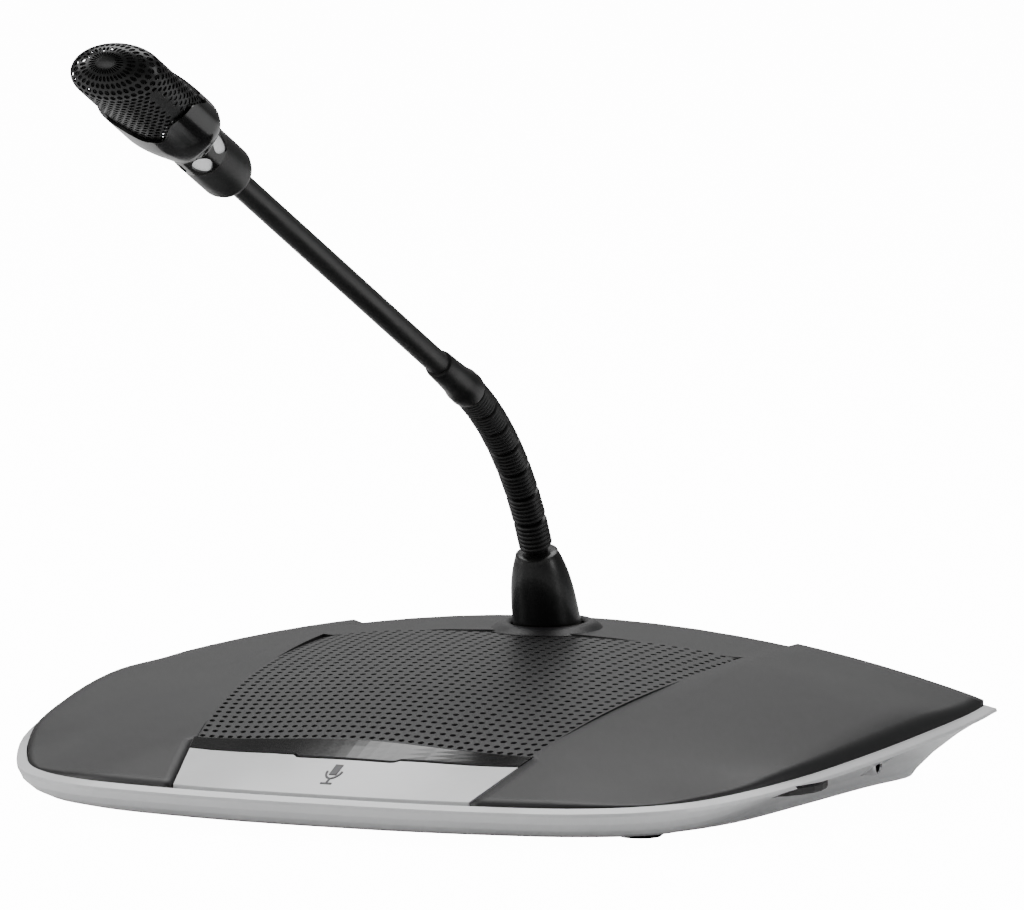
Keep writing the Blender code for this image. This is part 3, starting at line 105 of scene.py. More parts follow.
def surface(name, colour, roughness, grain, bump, metallic=0.0, coat=0.0, mottle=0.10,
            stretch=(1, 1, 1), rough_spread=0.06, glow=0.0, clear=0.0):
    """Principled finish; grain is the size of the fine texture in millimetres."""
    made = bpy.data.materials.new(name)
    made.use_nodes = True
    tree = made.node_tree
    shader = tree.nodes["Principled BSDF"]
    where = tree.nodes.new("ShaderNodeTexCoord")
    fit = tree.nodes.new("ShaderNodeMapping")
    fit.inputs["Scale"].default_value = [s / (grain * MM) for s in stretch]
    skin = tree.nodes.new("ShaderNodeGroup")
    skin.node_tree = SKIN
    skin.inputs["Dark Colour"].default_value = [*(c * (1.0 - mottle) for c in colour), 1.0]
    light = [min(c * (1.0 + mottle), 1.0) for c in colour]
    skin.inputs["Light Colour"].default_value = [*light, 1.0]
    skin.inputs["Least Roughness"].default_value = roughness - rough_spread
    skin.inputs["Most Roughness"].default_value = roughness + rough_spread
    skin.inputs["Relief"].default_value = bump
    tree.links.new(where.outputs["Object"], fit.inputs["Vector"])
    tree.links.new(fit.outputs["Vector"], skin.inputs["Fine Position"])
    tree.links.new(where.outputs["Object"], skin.inputs["Slow Position"])
    tree.links.new(skin.outputs["Colour"], shader.inputs["Base Color"])
    tree.links.new(skin.outputs["Roughness"], shader.inputs["Roughness"])
    tree.links.new(skin.outputs["Normal"], shader.inputs["Normal"])
    shader.inputs["Metallic"].default_value = metallic
    shader.inputs["Coat Weight"].default_value = coat
    shader.inputs["Coat Roughness"].default_value = 0.08
    shader.inputs["Transmission Weight"].default_value = clear
    if glow > 0.0:
        tree.links.new(skin.outputs["Colour"], shader.inputs["Emission Color"])
        shader.inputs["Emission Strength"].default_value = glow
    return made


def give(finish, *names):
    """Puts a finish on nodes of the frame; a name also stands for its numbered or sided copies."""
    for node_name, node in frame["nodes"].items():
        if any(node_name == name or node_name.startswith(name + "_") for name in names):
            node.data.materials.clear()
            node.data.materials.append(finish)


RUBBER = surface("foot_rubber", (0.014, 0.014, 0.014), 0.75, 0.35, 0.4)
STEEL = surface("plain_steel", (0.58, 0.58, 0.59), 0.32, 0.25, 0.15, metallic=1.0,
                stretch=(0.2, 1.0, 1.0))
give(RUBBER, "foot")
give(STEEL, "screw")

# =================================================================================================
# tray
# Real piece: a low moulded pan with a satin silver coat, a thin bright lip all round and flanks
# drawn in beneath it.
# =================================================================================================
SILVER = surface("satin_silver", (0.90, 0.905, 0.915), 0.36, 0.18, 0.05, metallic=0.10,
                 coat=0.25, mottle=0.03)
give(SILVER, "base_tray")

# =================================================================================================
# inside the tray
# Real pieces: a steel ballast plate, a lacquered circuit board, two potentiometers for the wheels
# and two headphone jack bodies soldered to the board.
# =================================================================================================
BOARD = surface("lacquered_board", (0.015, 0.11, 0.05), 0.40, 1.2, 0.20, coat=0.4,
                mottle=0.35)
INNER = surface("moulded_black", (0.016, 0.016, 0.017), 0.50, 0.30, 0.20)
give(STEEL, "ballast_plate")
give(BOARD, "main_board")
give(INNER, "volume_pot", "headphone_jack")

# =================================================================================================
# loudspeaker
# Real pieces: a foam gasket, a pressed steel frame, a coated paper cone, a magnet, and black cloth
# glued under the grille field.
# =================================================================================================
FOAM = surface("open_foam", (0.006, 0.006, 0.006), 0.95, 0.5, 0.9, mottle=0.5)
PAPER = surface("cone_paper", (0.03, 0.03, 0.032), 0.85, 0.6, 0.5)
give(FOAM, "speaker_gasket", "grille_cloth")
give(STEEL, "speaker_frame", "speaker_magnet")
give(PAPER, "speaker_cone")

# =================================================================================================
# side controls and rear ports
# Real pieces: two thin ribbed wheels in slots of the flanks, two plated rings round the headphone
# sockets, a moulded round socket and a rubber gland in the rear wall.
# =================================================================================================
CHROME = surface("plated_ring", (0.78, 0.78, 0.79), 0.12, 0.5, 0.02, metallic=1.0,
                 rough_spread=0.04)
give(CHROME, "jack_ring")
give(INNER, "volume_wheel", "rear_socket")
give(RUBBER, "cable_gland")

# =================================================================================================
# cover: the arched shell with a window for the grille field, and the perforated panel in it
# Real piece: one textured moulding with a fan-shaped field of round holes over the loudspeaker,
# standing on the tray's inner ledge.
# =================================================================================================
ANTHRACITE = surface("textured_anthracite", (0.012, 0.012, 0.013), 0.44, 0.22, 0.26,
                     mottle=0.06, rough_spread=0.015)
# The panel is the same moulding as the cover. Its colour is a shade lighter than the cover's only
# as a painted highlight on the centre panel.
PANEL_PAINTED_HIGHLIGHT = surface("textured_panel_painted_highlight", (0.015, 0.015, 0.016), 0.42, 0.20, 0.20,
                mottle=0.06, rough_spread=0.015)
give(ANTHRACITE, "top_cover")
TRAY_LOW, TRAY_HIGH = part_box("base_tray")
MID_Y = 0.5 * (TRAY_LOW.y + TRAY_HIGH.y)          # the base's own centre line in the frame
FIELD_COLS, FIELD_ROWS = 35, 34
FIELD_FRONT, FIELD_REAR = -46.4 * MM, 45.0 * MM
HALF_FRONT, HALF_REAR, FIELD_BULGE = 38.1 * MM, 49.1 * MM, 1.6 * MM
FIELD_BOW = 1.6 * MM                              # how far the front row curves towards the rear
HOLE_WIDE = 1.42 * MM
PANEL_THICK = 1.0 * MM

# The panel follows the moulded shell: a smooth arch is fitted to the shell's own outer points.
FIT_HALF, FIT_SPLAY = 39.5 * MM, 0.12
FIT_FRONT, FIT_REAR, FIT_LOW = -50.0 * MM, 60.0 * MM, 12.0 * MM
FIT_UNIT = 0.05                                   # length that the arch's powers are measured in
cover_node = frame["nodes"]["top_cover"]
points = np.array([v.co for v in cover_node.data.vertices])
base_y = points[:, 1] - MID_Y
upper = np.abs(points[:, 0]) < FIT_HALF + FIT_SPLAY * (base_y - FIELD_FRONT)
upper &= (base_y > FIT_FRONT) & (base_y < FIT_REAR) & (points[:, 2] > FIT_LOW)
outer = []
for x, y, z in points[upper]:
    near = (np.abs(points[:, 0] - x) < 0.5 * MM) & (np.abs(points[:, 1] - y) < 0.5 * MM)
    if z > points[near][:, 2].max() - 0.6 * MM:
        outer.append((x, y - MID_Y, z))
outer = np.array(outer)


def terms(x, y):
    """Powers of a smooth arch that is the same left and right."""
    x2, v = (x / FIT_UNIT) ** 2, y / FIT_UNIT
    return np.stack([x2 ** i * v ** j for i in range(3) for j in range(5 - i)], axis=-1)


arch, *_ = np.linalg.lstsq(terms(outer[:, 0], outer[:, 1]), outer[:, 2], rcond=None)


def arch_height(x, y):
    """Height of the cover's outer face over a point of the base."""
    return float(terms(np.array(x), np.array(y)) @ arch)


def field_point(u, t):
    """Point of the field for u across (0..1) and t from front to rear (0..1)."""
    side = 2.0 * u - 1.0
    half = HALF_FRONT + (HALF_REAR - HALF_FRONT) * t + 4.0 * FIELD_BULGE * t * (1.0 - t)
    half *= FIELD_COLS / (FIELD_COLS - 1.0)
    step = (FIELD_REAR - FIELD_FRONT) / (FIELD_ROWS - 1.0)
    y = FIELD_FRONT - 0.5 * step + (FIELD_REAR - FIELD_FRONT + step) * t
    return side * half, y + FIELD_BOW * side * side * (1.0 - t)


def panel_place(u, t):
    """Point of the panel's upper face, a hair below the shell's, with straight walls."""
    x, y = field_point(u, t)
    return Vector((x, y + MID_Y, arch_height(x, y) - 0.05 * MM)), Vector((0.0, 0.0, 1.0))


def panel_hole(j):
    """Share of a cell that a hole of constant size takes in row j."""
    t = (j + 0.5) / FIELD_ROWS
    wide = 2.0 * field_point(1.0, t)[0] / FIELD_COLS
    tall = (FIELD_REAR - FIELD_FRONT) / (FIELD_ROWS - 1.0)
    return HOLE_WIDE / wide, HOLE_WIDE / tall


def piece(name, bm, finish, body, replaces=(), angle=35.0):
    """Turns a bmesh into a piece that rides on a body."""
    bmesh.ops.remove_doubles(bm, verts=bm.verts, dist=1e-7)
    bmesh.ops.recalc_face_normals(bm, faces=bm.faces)
    mesh = bpy.data.meshes.new(name)
    bm.to_mesh(mesh)
    bm.free()
    mesh.shade_smooth()
    mesh.set_sharp_from_angle(angle=math.radians(angle))
    mesh.materials.append(finish)
    made = bpy.data.objects.new(name, mesh)
    bpy.context.scene.collection.objects.link(made)
    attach(made, body)
    if replaces:
        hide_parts(*replaces)
    return made


def place_sheet(bm, place, thick, wrap):
    """Gives a flat sheet in (u, t) its thickness and bends it; place(u, t) is point and normal."""
    if wrap:
        for vertex in bm.verts:
            if vertex.co.x > 1.0 - 1e-5:
                vertex.co.x -= 1.0
    bmesh.ops.remove_doubles(bm, verts=bm.verts, dist=1e-5)
    made = bmesh.ops.extrude_face_region(bm, geom=list(bm.faces), use_keep_orig=True)
    under = {item for item in made["geom"] if isinstance(item, bmesh.types.BMVert)}
    for vertex in bm.verts:
        point, normal = place(vertex.co.x, vertex.co.y)
        vertex.co = point - normal * thick if vertex in under else point
    return bm


def perforated(place, cols, rows, hole, thick, wrap=False, stagger=False, plain=None):
    """A curved sheet with a round hole in each cell; hole(j) is its share of the cell each way."""
    bm = bmesh.new()
    eighth = 0.25 * math.pi
    for j in range(rows):
        wide, tall = hole(j)
        for i in range(cols):
            centre_u = (i + 0.5 + (0.5 if stagger and j % 2 else 0.0)) / cols
            centre_t = (j + 0.5) / rows
            cell = bmesh.ops.create_circle(bm, cap_ends=True, radius=1.0, segments=8)["verts"]
            face = cell[0].link_faces[0]
            for vertex in cell:
                turn = eighth * round(math.atan2(vertex.co.y, vertex.co.x) / eighth)
                across, up = round(1.2 * math.cos(turn)), round(1.2 * math.sin(turn))
                vertex.co = (centre_u + 0.5 * across / cols, centre_t + 0.5 * up / rows, 0.0)
            if plain and plain(centre_u, j):
                continue
            bmesh.ops.inset_individual(bm, faces=[face], thickness=0.1 / max(cols, rows))
            for vertex in face.verts:
                across, up = (vertex.co.x - centre_u) * cols, (vertex.co.y - centre_t) * rows
                turn = eighth * round(math.atan2(up, across) / eighth)
                vertex.co = (centre_u + 0.5 * wide * math.cos(turn) / cols,
                             centre_t + 0.5 * tall * math.sin(turn) / rows, 0.0)
            bmesh.ops.delete(bm, geom=[face], context="FACES_ONLY")
    return place_sheet(bm, place, thick, wrap)


piece("grille_panel", perforated(panel_place, FIELD_COLS, FIELD_ROWS, panel_hole, PANEL_THICK),
      PANEL_PAINTED_HIGHLIGHT, "base", angle=40.0)

shell_bm = bmesh.new()
shell_bm.from_mesh(cover_node.data)
shell = piece("cover_shell", shell_bm, ANTHRACITE, "base", ("top_cover",),
              angle=42.0)
rim_path = [field_point(k / 12.0, 0.0) for k in range(13)]
rim_path += [field_point(1.0, k / 16.0) for k in range(1, 17)]
rim_path += [field_point(1.0 - k / 12.0, 1.0) for k in range(1, 13)]
rim_path += [field_point(0.0, 1.0 - k / 16.0) for k in range(1, 16)]
window_bm = bmesh.new()
ends = [[window_bm.verts.new((x * 0.9995, y + MID_Y, z)) for x, y in rim_path] for z in (0.0, 0.06)]
window_bm.faces.new(list(reversed(ends[0])))
window_bm.faces.new(ends[1])
for k in range(len(rim_path)):
    n = (k + 1) % len(rim_path)
    window_bm.faces.new((ends[0][k], ends[0][n], ends[1][n], ends[1][k]))
window_mesh = bpy.data.meshes.new("field_window")
bmesh.ops.recalc_face_normals(window_bm, faces=window_bm.faces)
window_bm.to_mesh(window_mesh)
window_bm.free()
window = bpy.data.objects.new("field_window", window_mesh)
bpy.context.scene.collection.objects.link(window)
window.hide_render = True
cut = shell.modifiers.new("field", "BOOLEAN")
cut.object = window
cut.operation = "DIFFERENCE"
cut.solver = "EXACT"

# =================================================================================================
# collar, sleeve, connector and nut
# Real pieces: a soft moulded ring in the cover, a tapered glossy boot over the foot of the stem,
# and a turned brass connector held by its nut inside.
# =================================================================================================
BRASS = surface("turned_brass", (0.70, 0.53, 0.25), 0.26, 0.3, 0.10, metallic=1.0)
SLEEVE = surface("sleeve_black", (0.004, 0.004, 0.004), 0.30, 0.25, 0.06, coat=0.15,
                 rough_spread=0.05)
give(ANTHRACITE, "socket_collar")
give(SLEEVE, "stem_sleeve")
give(BRASS, "mic_connector", "socket_nut")
SLEEVE_TILT = math.radians(19.6)
collar_low, collar_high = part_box("socket_collar")
SOCKET = Vector((0.0, 0.5 * (collar_low.y + collar_high.y), 0.0))
SOCKET.z = arch_height(0.0, SOCKET.y - MID_Y)


def smooth_step(low, high, value):
    t = min(max((value - low) / (high - low), 0.0), 1.0)
    return t * t * (3.0 - 2.0 * t)


def leaning(origin, along):
    """Matrix whose Z runs along a direction in the upright plane through the stem, with X kept."""
    z = Vector(along).normalized()
    x = Vector((1.0, 0.0, 0.0))
    y = z.cross(x)
    turn = Matrix((x, y, z)).transposed().to_4x4()
    return Matrix.Translation(origin) @ turn


def shaped_sheet(place, across, along, thick, wrap=False):
    """A closed slab of a curved sheet: place(u, t) gives its outer point and normal."""
    bm = bmesh.new()
    bmesh.ops.create_grid(bm, x_segments=across, y_segments=along, size=0.5)
    bmesh.ops.translate(bm, vec=(0.5, 0.5, 0.0), verts=bm.verts)
    return place_sheet(bm, place, thick, wrap)


def lathe(profile, at, segments=64, closed=False):
    """A turned solid from (radius, height) in millimetres, placed by a matrix."""
    bm = bmesh.new()
    line = [bm.verts.new((radius * MM, 0.0, height * MM)) for radius, height in profile]
    pairs = list(zip(line, line[1:])) + ([(line[-1], line[0])] if closed else [])
    edges = [bm.edges.new(pair) for pair in pairs if max(end.co.x for end in pair) > 1e-9]
    bmesh.ops.spin(bm, geom=line + edges, cent=(0.0, 0.0, 0.0), axis=(0.0, 0.0, 1.0),
                   angle=2.0 * math.pi, steps=segments, use_merge=True)
    bmesh.ops.transform(bm, matrix=at, verts=bm.verts)
    return bm


SLEEVE_AXIS = leaning(SOCKET, (0.0, -math.sin(SLEEVE_TILT), math.cos(SLEEVE_TILT)))


COLLAR_RADIUS, COLLAR_BAND, COLLAR_TALL = 13.2, 4.9, 2.0    # outside, ring width, height in mm


def collar_place(u, t):
    """From the ring's outer edge on the cover up over its crown; it is taller at the rear."""
    turn = 2.0 * math.pi * u
    radius = (COLLAR_RADIUS - COLLAR_BAND * t) * MM
    x, y = radius * math.cos(turn), radius * math.sin(turn)
    tall = COLLAR_TALL * (1.0 + 0.30 * math.sin(turn)) * MM
    swell = math.sin(0.5 * math.pi * min(t / 0.72, 1.0)) ** 1.3
    swell *= 1.0 - 0.35 * smooth_step(0.8, 1.0, t)
    z = arch_height(x, SOCKET.y + y - MID_Y) + 0.05 * MM + tall * swell
    return Vector((x, SOCKET.y + y, z)), Vector((0.0, 0.0, 1.0))


piece("collar_ring", shaped_sheet(collar_place, 64, 12, 0.04 * MM, wrap=True), ANTHRACITE,
      "base", ("socket_collar",), angle=60.0)

SLEEVE_RADIUS, SLEEVE_TAPER, SLEEVE_SHOULDER = 7.6, 0.935, 1.85
SLEEVE_FOOT, SLEEVE_LONG = 1.2, 17.4
sleeve_profile = [(0.0, 0.35), (7.3, 0.35), (7.65, 0.7), (7.7, SLEEVE_FOOT)]
for k in range(1, 25):
    share = k / 24.0
    radius = SLEEVE_RADIUS - SLEEVE_TAPER * share - SLEEVE_SHOULDER * share ** 3.4
    sleeve_profile.append((radius, SLEEVE_FOOT + SLEEVE_LONG * share))
sleeve_profile += [(4.75, 18.95), (4.25, 19.25), (3.2, 19.3), (0.0, 19.3)]
piece("sleeve_boot", lathe(sleeve_profile, SLEEVE_AXIS, 72), SLEEVE, "base", ("stem_sleeve",))

# =================================================================================================
# ribbed gooseneck
# Real piece: a flexible neck wound from steel strip and coated black. It bends at every turn; here
# seven ribbed lengths ride on the segments, with a bead inside each joint.
# =================================================================================================
RIBBED = surface("ribbed_black", (0.005, 0.005, 0.005), 0.42, 0.15, 0.12)
give(RIBBED, "flex")
JOINTS = {j["name"]: Vector(j["pos_m"]) for j in frame["joints"] if "pos_m" in j}
CHAIN = [JOINTS[f"{kind}_{k}"] for k in (1, 2, 3, 4) for kind in ("bend", "side")]
RIBS, CORE_RADIUS, RIB_BORE = 6, 2.6, 2.75
BORE_START, RIB_START = 0.47, 0.52                # room left at each end so that the joint bends
RIB_SHAPE = ((0.03, 3.34), (0.18, 3.62), (0.36, 3.74), (0.64, 3.74), (0.82, 3.62), (0.97, 3.34))
for k in range(1, 8):
    low, high = CHAIN[k - 1], CHAIN[k]
    length = (high - low).length / MM
    at = leaning(low, high - low)
    pitch = (length - 2.0 * RIB_START) / RIBS
    ribs = [(RIB_BORE, BORE_START)]
    for r in range(RIBS):
        start = RIB_START + r * pitch
        ribs += [(radius, start + share * pitch) for share, radius in RIB_SHAPE]
    ribs.append((RIB_BORE, length - BORE_START))
    piece(f"ribbed_segment_{k}", lathe(ribs, at, 40, closed=True), RIBBED, f"segment_{k}",
          (f"flex_{k}",), angle=50.0)
core_bodies = ["base"] + [f"segment_{k}" for k in range(1, 7)] + ["upper_stem"]
for k, body in enumerate(core_bodies, 1):
    core = bmesh.new()
    bmesh.ops.create_uvsphere(core, u_segments=24, v_segments=16, radius=CORE_RADIUS * MM)
    bmesh.ops.translate(core, vec=CHAIN[k - 1], verts=core.verts)
    piece(f"core_bead_{k}", core, RIBBED, body)

# =================================================================================================
# bush and tube
# Real pieces: a turned bush that grips the gooseneck's upper end, and a straight steel tube
# painted satin black.
# =================================================================================================
SATIN = surface("satin_black", (0.006, 0.006, 0.006), 0.36, 0.20, 0.10)
give(SATIN, "joint_bush", "stem_tube")
STEM_LEAN = math.radians(65.3)
STEM_TOP = Vector((0.0, -math.sin(STEM_LEAN), math.cos(STEM_LEAN)))
STEM_AXIS = leaning(CHAIN[7], STEM_TOP)
BUSH_LONG, TUBE_LONG = 18.7, 118.8
bush_profile = [(0.0, 0.3), (3.5, 0.4), (3.95, 0.75), (4.05, 1.6), (4.0, 4.6), (3.8, 5.6),
                (3.55, 8.0), (3.35, 13.0), (3.25, 17.6), (3.1, 18.5), (2.75, BUSH_LONG),
                (0.0, BUSH_LONG)]
piece("neck_bush", lathe(bush_profile, STEM_AXIS, 48), SATIN, "upper_stem", ("joint_bush",))
tube_profile = [(0.0, 18.4), (2.65, 18.4), (2.65, 138.2), (0.0, 138.2)]
piece("painted_tube", lathe(tube_profile, STEM_AXIS, 40), SATIN, "upper_stem", ("stem_tube",))

# =================================================================================================
# head: neck, lit ring behind leaf-shaped windows, scalloped cup and perforated basket
# Real pieces: glossy black mouldings round a punched metal basket with smooth spines, lined with
# foam round a capsule in a rubber mount.
# =================================================================================================
GLOSS = surface("polished_black", (0.003, 0.003, 0.003), 0.16, 0.8, 0.01, coat=0.3,
                rough_spread=0.03)
LIGHT = surface("frosted_ring", (0.80, 0.81, 0.82), 0.35, 0.6, 0.05, coat=0.3, glow=0.35,
                mottle=0.03)
give(SATIN, "head_neck", "head_basket")
give(GLOSS, "head_cup")
give(LIGHT, "light_ring")
give(FOAM, "basket_foam")
give(BRASS, "mic_capsule")
give(RUBBER, "capsule_mount")
HEAD_START = BUSH_LONG + TUBE_LONG
HEAD_AXIS = leaning(CHAIN[7] + STEM_TOP * HEAD_START * MM, STEM_TOP)
OVAL_FROM, OVAL_TO = 23.0, 33.5                   # round neck to full oval, from the head's rear
NECK_RADIUS, OVAL_UP, OVAL_OUT = 5.8, 1.15, 5.1   # how much the bowl gains in height and width


def sizes_at(along):
    """Half height and half width of the bowl behind the basket, in millimetres."""
    share = min(max((along - OVAL_FROM) / (OVAL_TO - OVAL_FROM), 0.0), 1.0)
    opened = math.sin(0.5 * math.pi * share)
    return NECK_RADIUS + OVAL_UP * opened, NECK_RADIUS + OVAL_OUT * opened


def on_head(turn, high, wide, along, tilt=0.0):
    """Point and outward direction on an oval section; turn runs from the head's upper side."""
    point = HEAD_AXIS @ (Vector((wide * math.sin(turn), high * math.cos(turn), along)) * MM)
    flat = Vector((high * math.sin(turn), wide * math.cos(turn), 0.0)).normalized()
    flat *= math.cos(tilt)
    return point, HEAD_AXIS.to_3x3() @ Vector((flat.x, flat.y, math.sin(tilt)))


neck_profile = [(0.0, 0.1), (3.4, 0.1), (4.6, 0.5), (5.4, 1.3), (5.8, 2.6), (5.85, 9.0),
                (5.8, 15.9), (0.0, 15.9)]
piece("head_sleeve", lathe(neck_profile, HEAD_AXIS, 56), SATIN, "upper_stem", ("head_neck",))
ring_profile = [(0.0, 16.0), (5.35, 16.0), (5.35, 23.6), (0.0, 23.6)]
piece("lit_ring", lathe(ring_profile, HEAD_AXIS, 56), LIGHT, "upper_stem", ("light_ring",))

WINDOW_LOW, WINDOW_HIGH = 15.9, 23.7
BRIDGE_HALF, BRIDGE_WAIST = 30.2, 20.5            # half the bridge's turn at its ends, and drawn in
for k in range(6):
    middle = math.pi * k / 3.0

    def bridge_place(u, t, middle=middle):
        """A bridge between two leaf-shaped windows: wide at both ends and narrow halfway."""
        half = BRIDGE_HALF - BRIDGE_WAIST * max(math.sin(math.pi * t), 0.0) ** 0.75
        turn = middle + math.radians(half) * (2.0 * u - 1.0)
        along = WINDOW_LOW + (WINDOW_HIGH - WINDOW_LOW) * t
        high, wide = sizes_at(along)
        return on_head(turn, high + 0.05, wide + 0.05, along)

    piece(f"window_bridge_{k + 1}", shaped_sheet(bridge_place, 10, 14, 0.4 * MM), GLOSS,
          "upper_stem", angle=50.0)

CUP_START, CUP_WALL, CUP_RIM, CUP_SCALLOP = 23.5, 0.6, 38.5, 7.5


def cup_place(u, t):
    """Flare that opens to the full oval, then runs forward to a scalloped rim."""
    turn = 2.0 * math.pi * u
    rim = CUP_RIM + CUP_SCALLOP * smooth_step(0.2, 1.0, abs(math.cos(1.5 * turn)))
    along = CUP_START + (rim - CUP_START) * t
    high, wide = sizes_at(along)
    return on_head(turn, high, wide, along)


piece("cup_shell", shaped_sheet(cup_place, 120, 24, CUP_WALL * MM, wrap=True), GLOSS,
      "upper_stem", ("head_cup",), angle=60.0)

BASKET_HIGH, BASKET_WIDE, BASKET_LOW, BASKET_WALL = 6.2, 10.2, 34.5, 0.35
DOME_START, DOME_DEEP, DOME_REACH = 60.4, 6.6, math.radians(80.0)
STRAIGHT, ARC = DOME_START - BASKET_LOW, 7.6
around = np.linspace(0.0, 2.0 * math.pi, 721)
paces = np.hypot(BASKET_WIDE * np.cos(around), BASKET_HIGH * np.sin(around))
walked = np.concatenate([[0.0], np.cumsum(0.5 * (paces[1:] + paces[:-1]))])
walked /= walked[-1]


def basket_place(u, t):
    """Even steps round the oval, then over the rounded end."""
    turn = float(np.interp(u % 1.0, walked, around))
    run = t * (STRAIGHT + ARC)
    if run < STRAIGHT:
        return on_head(turn, BASKET_HIGH, BASKET_WIDE, BASKET_LOW + run)
    tilt = DOME_REACH * (run - STRAIGHT) / ARC
    return on_head(turn, BASKET_HIGH * math.cos(tilt), BASKET_WIDE * math.cos(tilt),
                   DOME_START + DOME_DEEP * math.sin(tilt), tilt)


def basket_plain(u, j):
    """Three smooth spines along the sides, and the rows inside the cup."""
    off = abs(((3.0 * u + 0.5) % 1.0) - 0.5) / 3.0
    return j < 2 or (j < 18 and off < 0.028)


basket = perforated(basket_place, 33, 24, lambda j: (0.80, 0.80), BASKET_WALL * MM, wrap=True,
                    stagger=True, plain=basket_plain)
piece("punched_basket", basket, SATIN, "upper_stem", ("head_basket",), angle=50.0)
tip = [(BASKET_HIGH * math.cos(a), DOME_START + DOME_DEEP * math.sin(a))
       for a in np.linspace(DOME_REACH - 0.03, 0.5 * math.pi, 7)]
tip_inner = [(r * 0.95, h - 0.3) for r, h in reversed(tip)]
tip[-1], tip_inner[0] = (0.0, tip[-1][1]), (0.0, tip_inner[0][1])
TIP_AXIS = HEAD_AXIS @ Matrix.Diagonal((BASKET_WIDE / BASKET_HIGH, 1.0, 1.0, 1.0))
piece("basket_tip", lathe(tip + tip_inner, TIP_AXIS, 40, closed=True), SATIN, "upper_stem")

# =================================================================================================
# strip, talk key and its works
# Real pieces: a polished strip, a wide brushed key on a steel pin with two springs, a switch and a
# light guide. The key carries a small printed microphone.
# =================================================================================================
KEY = surface("brushed_key", (0.82, 0.825, 0.83), 0.36, 0.16, 0.10, metallic=0.25,
              stretch=(0.06, 1.0, 1.0), mottle=0.07)
CLEAR = surface("clear_guide", (0.85, 0.87, 0.90), 0.16, 0.6, 0.05, clear=0.8)
INK = surface("key_ink", (0.10, 0.10, 0.105), 0.50, 0.2, 0.05)
give(GLOSS, "strip_window")
give(KEY, "talk_button")
give(INNER, "button_cradle", "talk_switch")
give(STEEL, "hinge_pin", "button_spring")
give(CLEAR, "light_guide")
key_points = np.array([v.co for v in frame["nodes"]["talk_button"].data.vertices])


def key_height(x, y):
    """Face of the key, from the slope between its own front and rear edges."""
    top = key_points[np.abs(key_points[:, 0] - x) < 9.0 * MM]
    front = top[top[:, 1] < top[:, 1].min() + 2.0 * MM]
    rear = top[top[:, 1] > top[:, 1].max() - 2.0 * MM]
    f, r = front[front[:, 2].argmax()], rear[rear[:, 2].argmax()]
    return f[2] + (r[2] - f[2]) * (y - f[1]) / (r[1] - f[1])


def stroke(path, width):
    """A printed line of constant width along points on the key."""
    bm = bmesh.new()
    last = len(path) - 1
    bmesh.ops.create_grid(bm, x_segments=last, y_segments=1, size=0.5)
    bmesh.ops.translate(bm, vec=(0.5, 0.0, 0.0), verts=bm.verts)

    def ink_place(u, side):
        """Point beside the line, side half-widths across it, just proud of the key's face."""
        k = round(u * last)
        (x, y), (x0, y0), (x1, y1) = path[k], path[max(k - 1, 0)], path[min(k + 1, last)]
        run = Vector((x1 - x0, y1 - y0)).normalized()
        px = (x - run.y * width * side) * MM
        py = (y + run.x * width * side) * MM + MID_Y
        return Vector((px, py, key_height(px, py) + 0.16 * MM)), Vector((0.0, 0.0, 1.0))

    return place_sheet(bm, ink_place, 0.3 * MM, False)


ICON_Y = -62.0                                    # middle of the printed mark, on the key's centre
cradle = [(1.7 * math.sin(a), ICON_Y + 1.2 - 3.0 * math.cos(a)) for a in np.linspace(-1.5, 1.5, 13)]
for name, line, width in (("capsule", [(0.0, ICON_Y - 0.4), (0.0, ICON_Y + 3.6)], 1.7),
                          ("cradle", cradle, 0.45),
                          ("stem", [(0.0, ICON_Y - 3.6), (0.0, ICON_Y - 1.9)], 0.45),
                          ("foot", [(-1.3, ICON_Y - 3.8), (1.3, ICON_Y - 3.8)], 0.5)):
    piece(f"symbol_{name}", stroke(line, width), INK, "talk_key")

# =================================================================================================
# stage: pale floor, soft light, camera
# =================================================================================================
floor_bm = bmesh.new()
bmesh.ops.create_grid(floor_bm, x_segments=1, y_segments=1, size=6.0)
floor_mesh = bpy.data.meshes.new("floor")
floor_bm.to_mesh(floor_mesh)
floor_bm.free()
floor = bpy.data.objects.new("floor", floor_mesh)
bpy.context.scene.collection.objects.link(floor)
floor_look = surface("pale_floor", (0.88, 0.88, 0.88), 0.30, 4.0, 0.0, mottle=0.004,
                     rough_spread=0.02, glow=0.85)
floor.data.materials.append(floor_look)
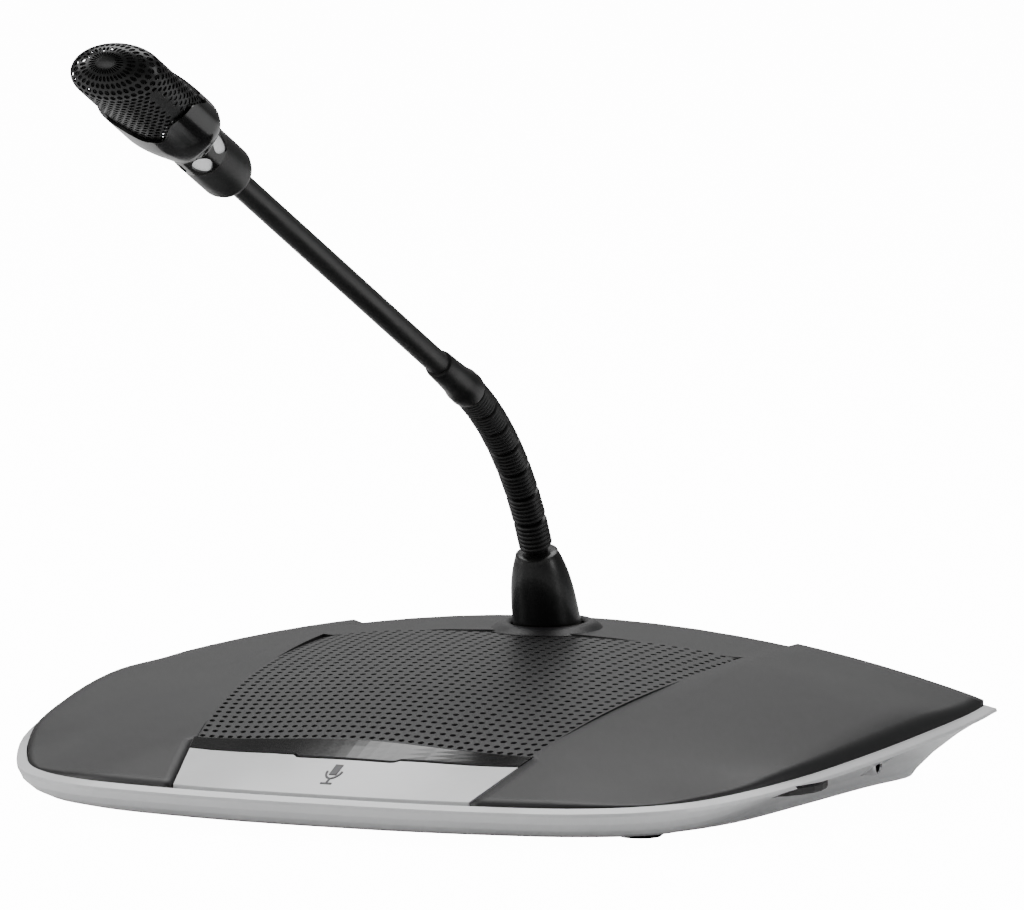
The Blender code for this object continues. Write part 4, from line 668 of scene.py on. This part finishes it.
# White where it is seen directly, but lighting the object no more than plain paper would.
FLOOR_WHITE = 16.0
floor_tree = floor_look.node_tree
seen = floor_tree.nodes.new("ShaderNodeLightPath")
shine = floor_tree.nodes.new("ShaderNodeMath")
shine.operation = "MULTIPLY"
shine.inputs[1].default_value = FLOOR_WHITE
floor_shader = floor_tree.nodes["Principled BSDF"]
floor_tree.links.new(seen.outputs["Is Camera Ray"], shine.inputs[0])
floor_tree.links.new(shine.outputs["Value"], floor_shader.inputs["Emission Strength"])

world = bpy.data.worlds.new("studio")
world.use_nodes = True
sky = world.node_tree.nodes["Background"]
sky.inputs["Color"].default_value = (1.0, 1.0, 1.0, 1.0)
sky.inputs["Strength"].default_value = 0.14
bpy.context.scene.world = world


def soft_box(name, place, target, size, power):
    """A rectangular lamp, with its sizes in metres and its power in watts, aimed at a point."""
    lamp = bpy.data.lights.new(name, "AREA")
    lamp.shape = "RECTANGLE"
    lamp.size, lamp.size_y = size
    lamp.energy = power
    made = bpy.data.objects.new(name, lamp)
    bpy.context.scene.collection.objects.link(made)
    made.location = place
    made.rotation_mode = "QUATERNION"
    made.rotation_quaternion = (Vector(target) - Vector(place)).to_track_quat("-Z", "Y")


soft_box("top_box", (-0.25, 0.55, 1.25), (0.0, 0.0, 0.0), (1.2, 0.8), 13.0)
soft_box("front_box", (-0.60, -1.60, 1.10), (0.0, 0.0, 0.0), (1.0, 0.7), 5.0)
soft_box("rear_box", (-0.90, 1.80, 0.75), (0.0, 0.0, 0.05), (1.6, 0.8), 2.6)
soft_box("left_box", (-1.10, -0.35, 0.70), (0.0, 0.0, 0.08), (0.5, 0.9), 6.5)
soft_box("right_box", (1.20, 0.10, 0.60), (0.0, 0.0, 0.05), (0.4, 0.9), 4.0)

CAMERA_AZIMUTH, CAMERA_ELEVATION = 23.13, 6.49
camera_data = bpy.data.cameras.new("view")
camera_data.lens = 403.1
camera_data.sensor_width = 36.0
camera = bpy.data.objects.new("view", camera_data)
bpy.context.scene.collection.objects.link(camera)
camera.location = (0.9848, -2.2705 + MID_Y, 0.3558)
camera.rotation_euler = (math.radians(90.0 - CAMERA_ELEVATION), 0.0, math.radians(CAMERA_AZIMUTH))
camera_data.clip_start, camera_data.clip_end = 0.1, 50.0
bpy.context.scene.camera = camera
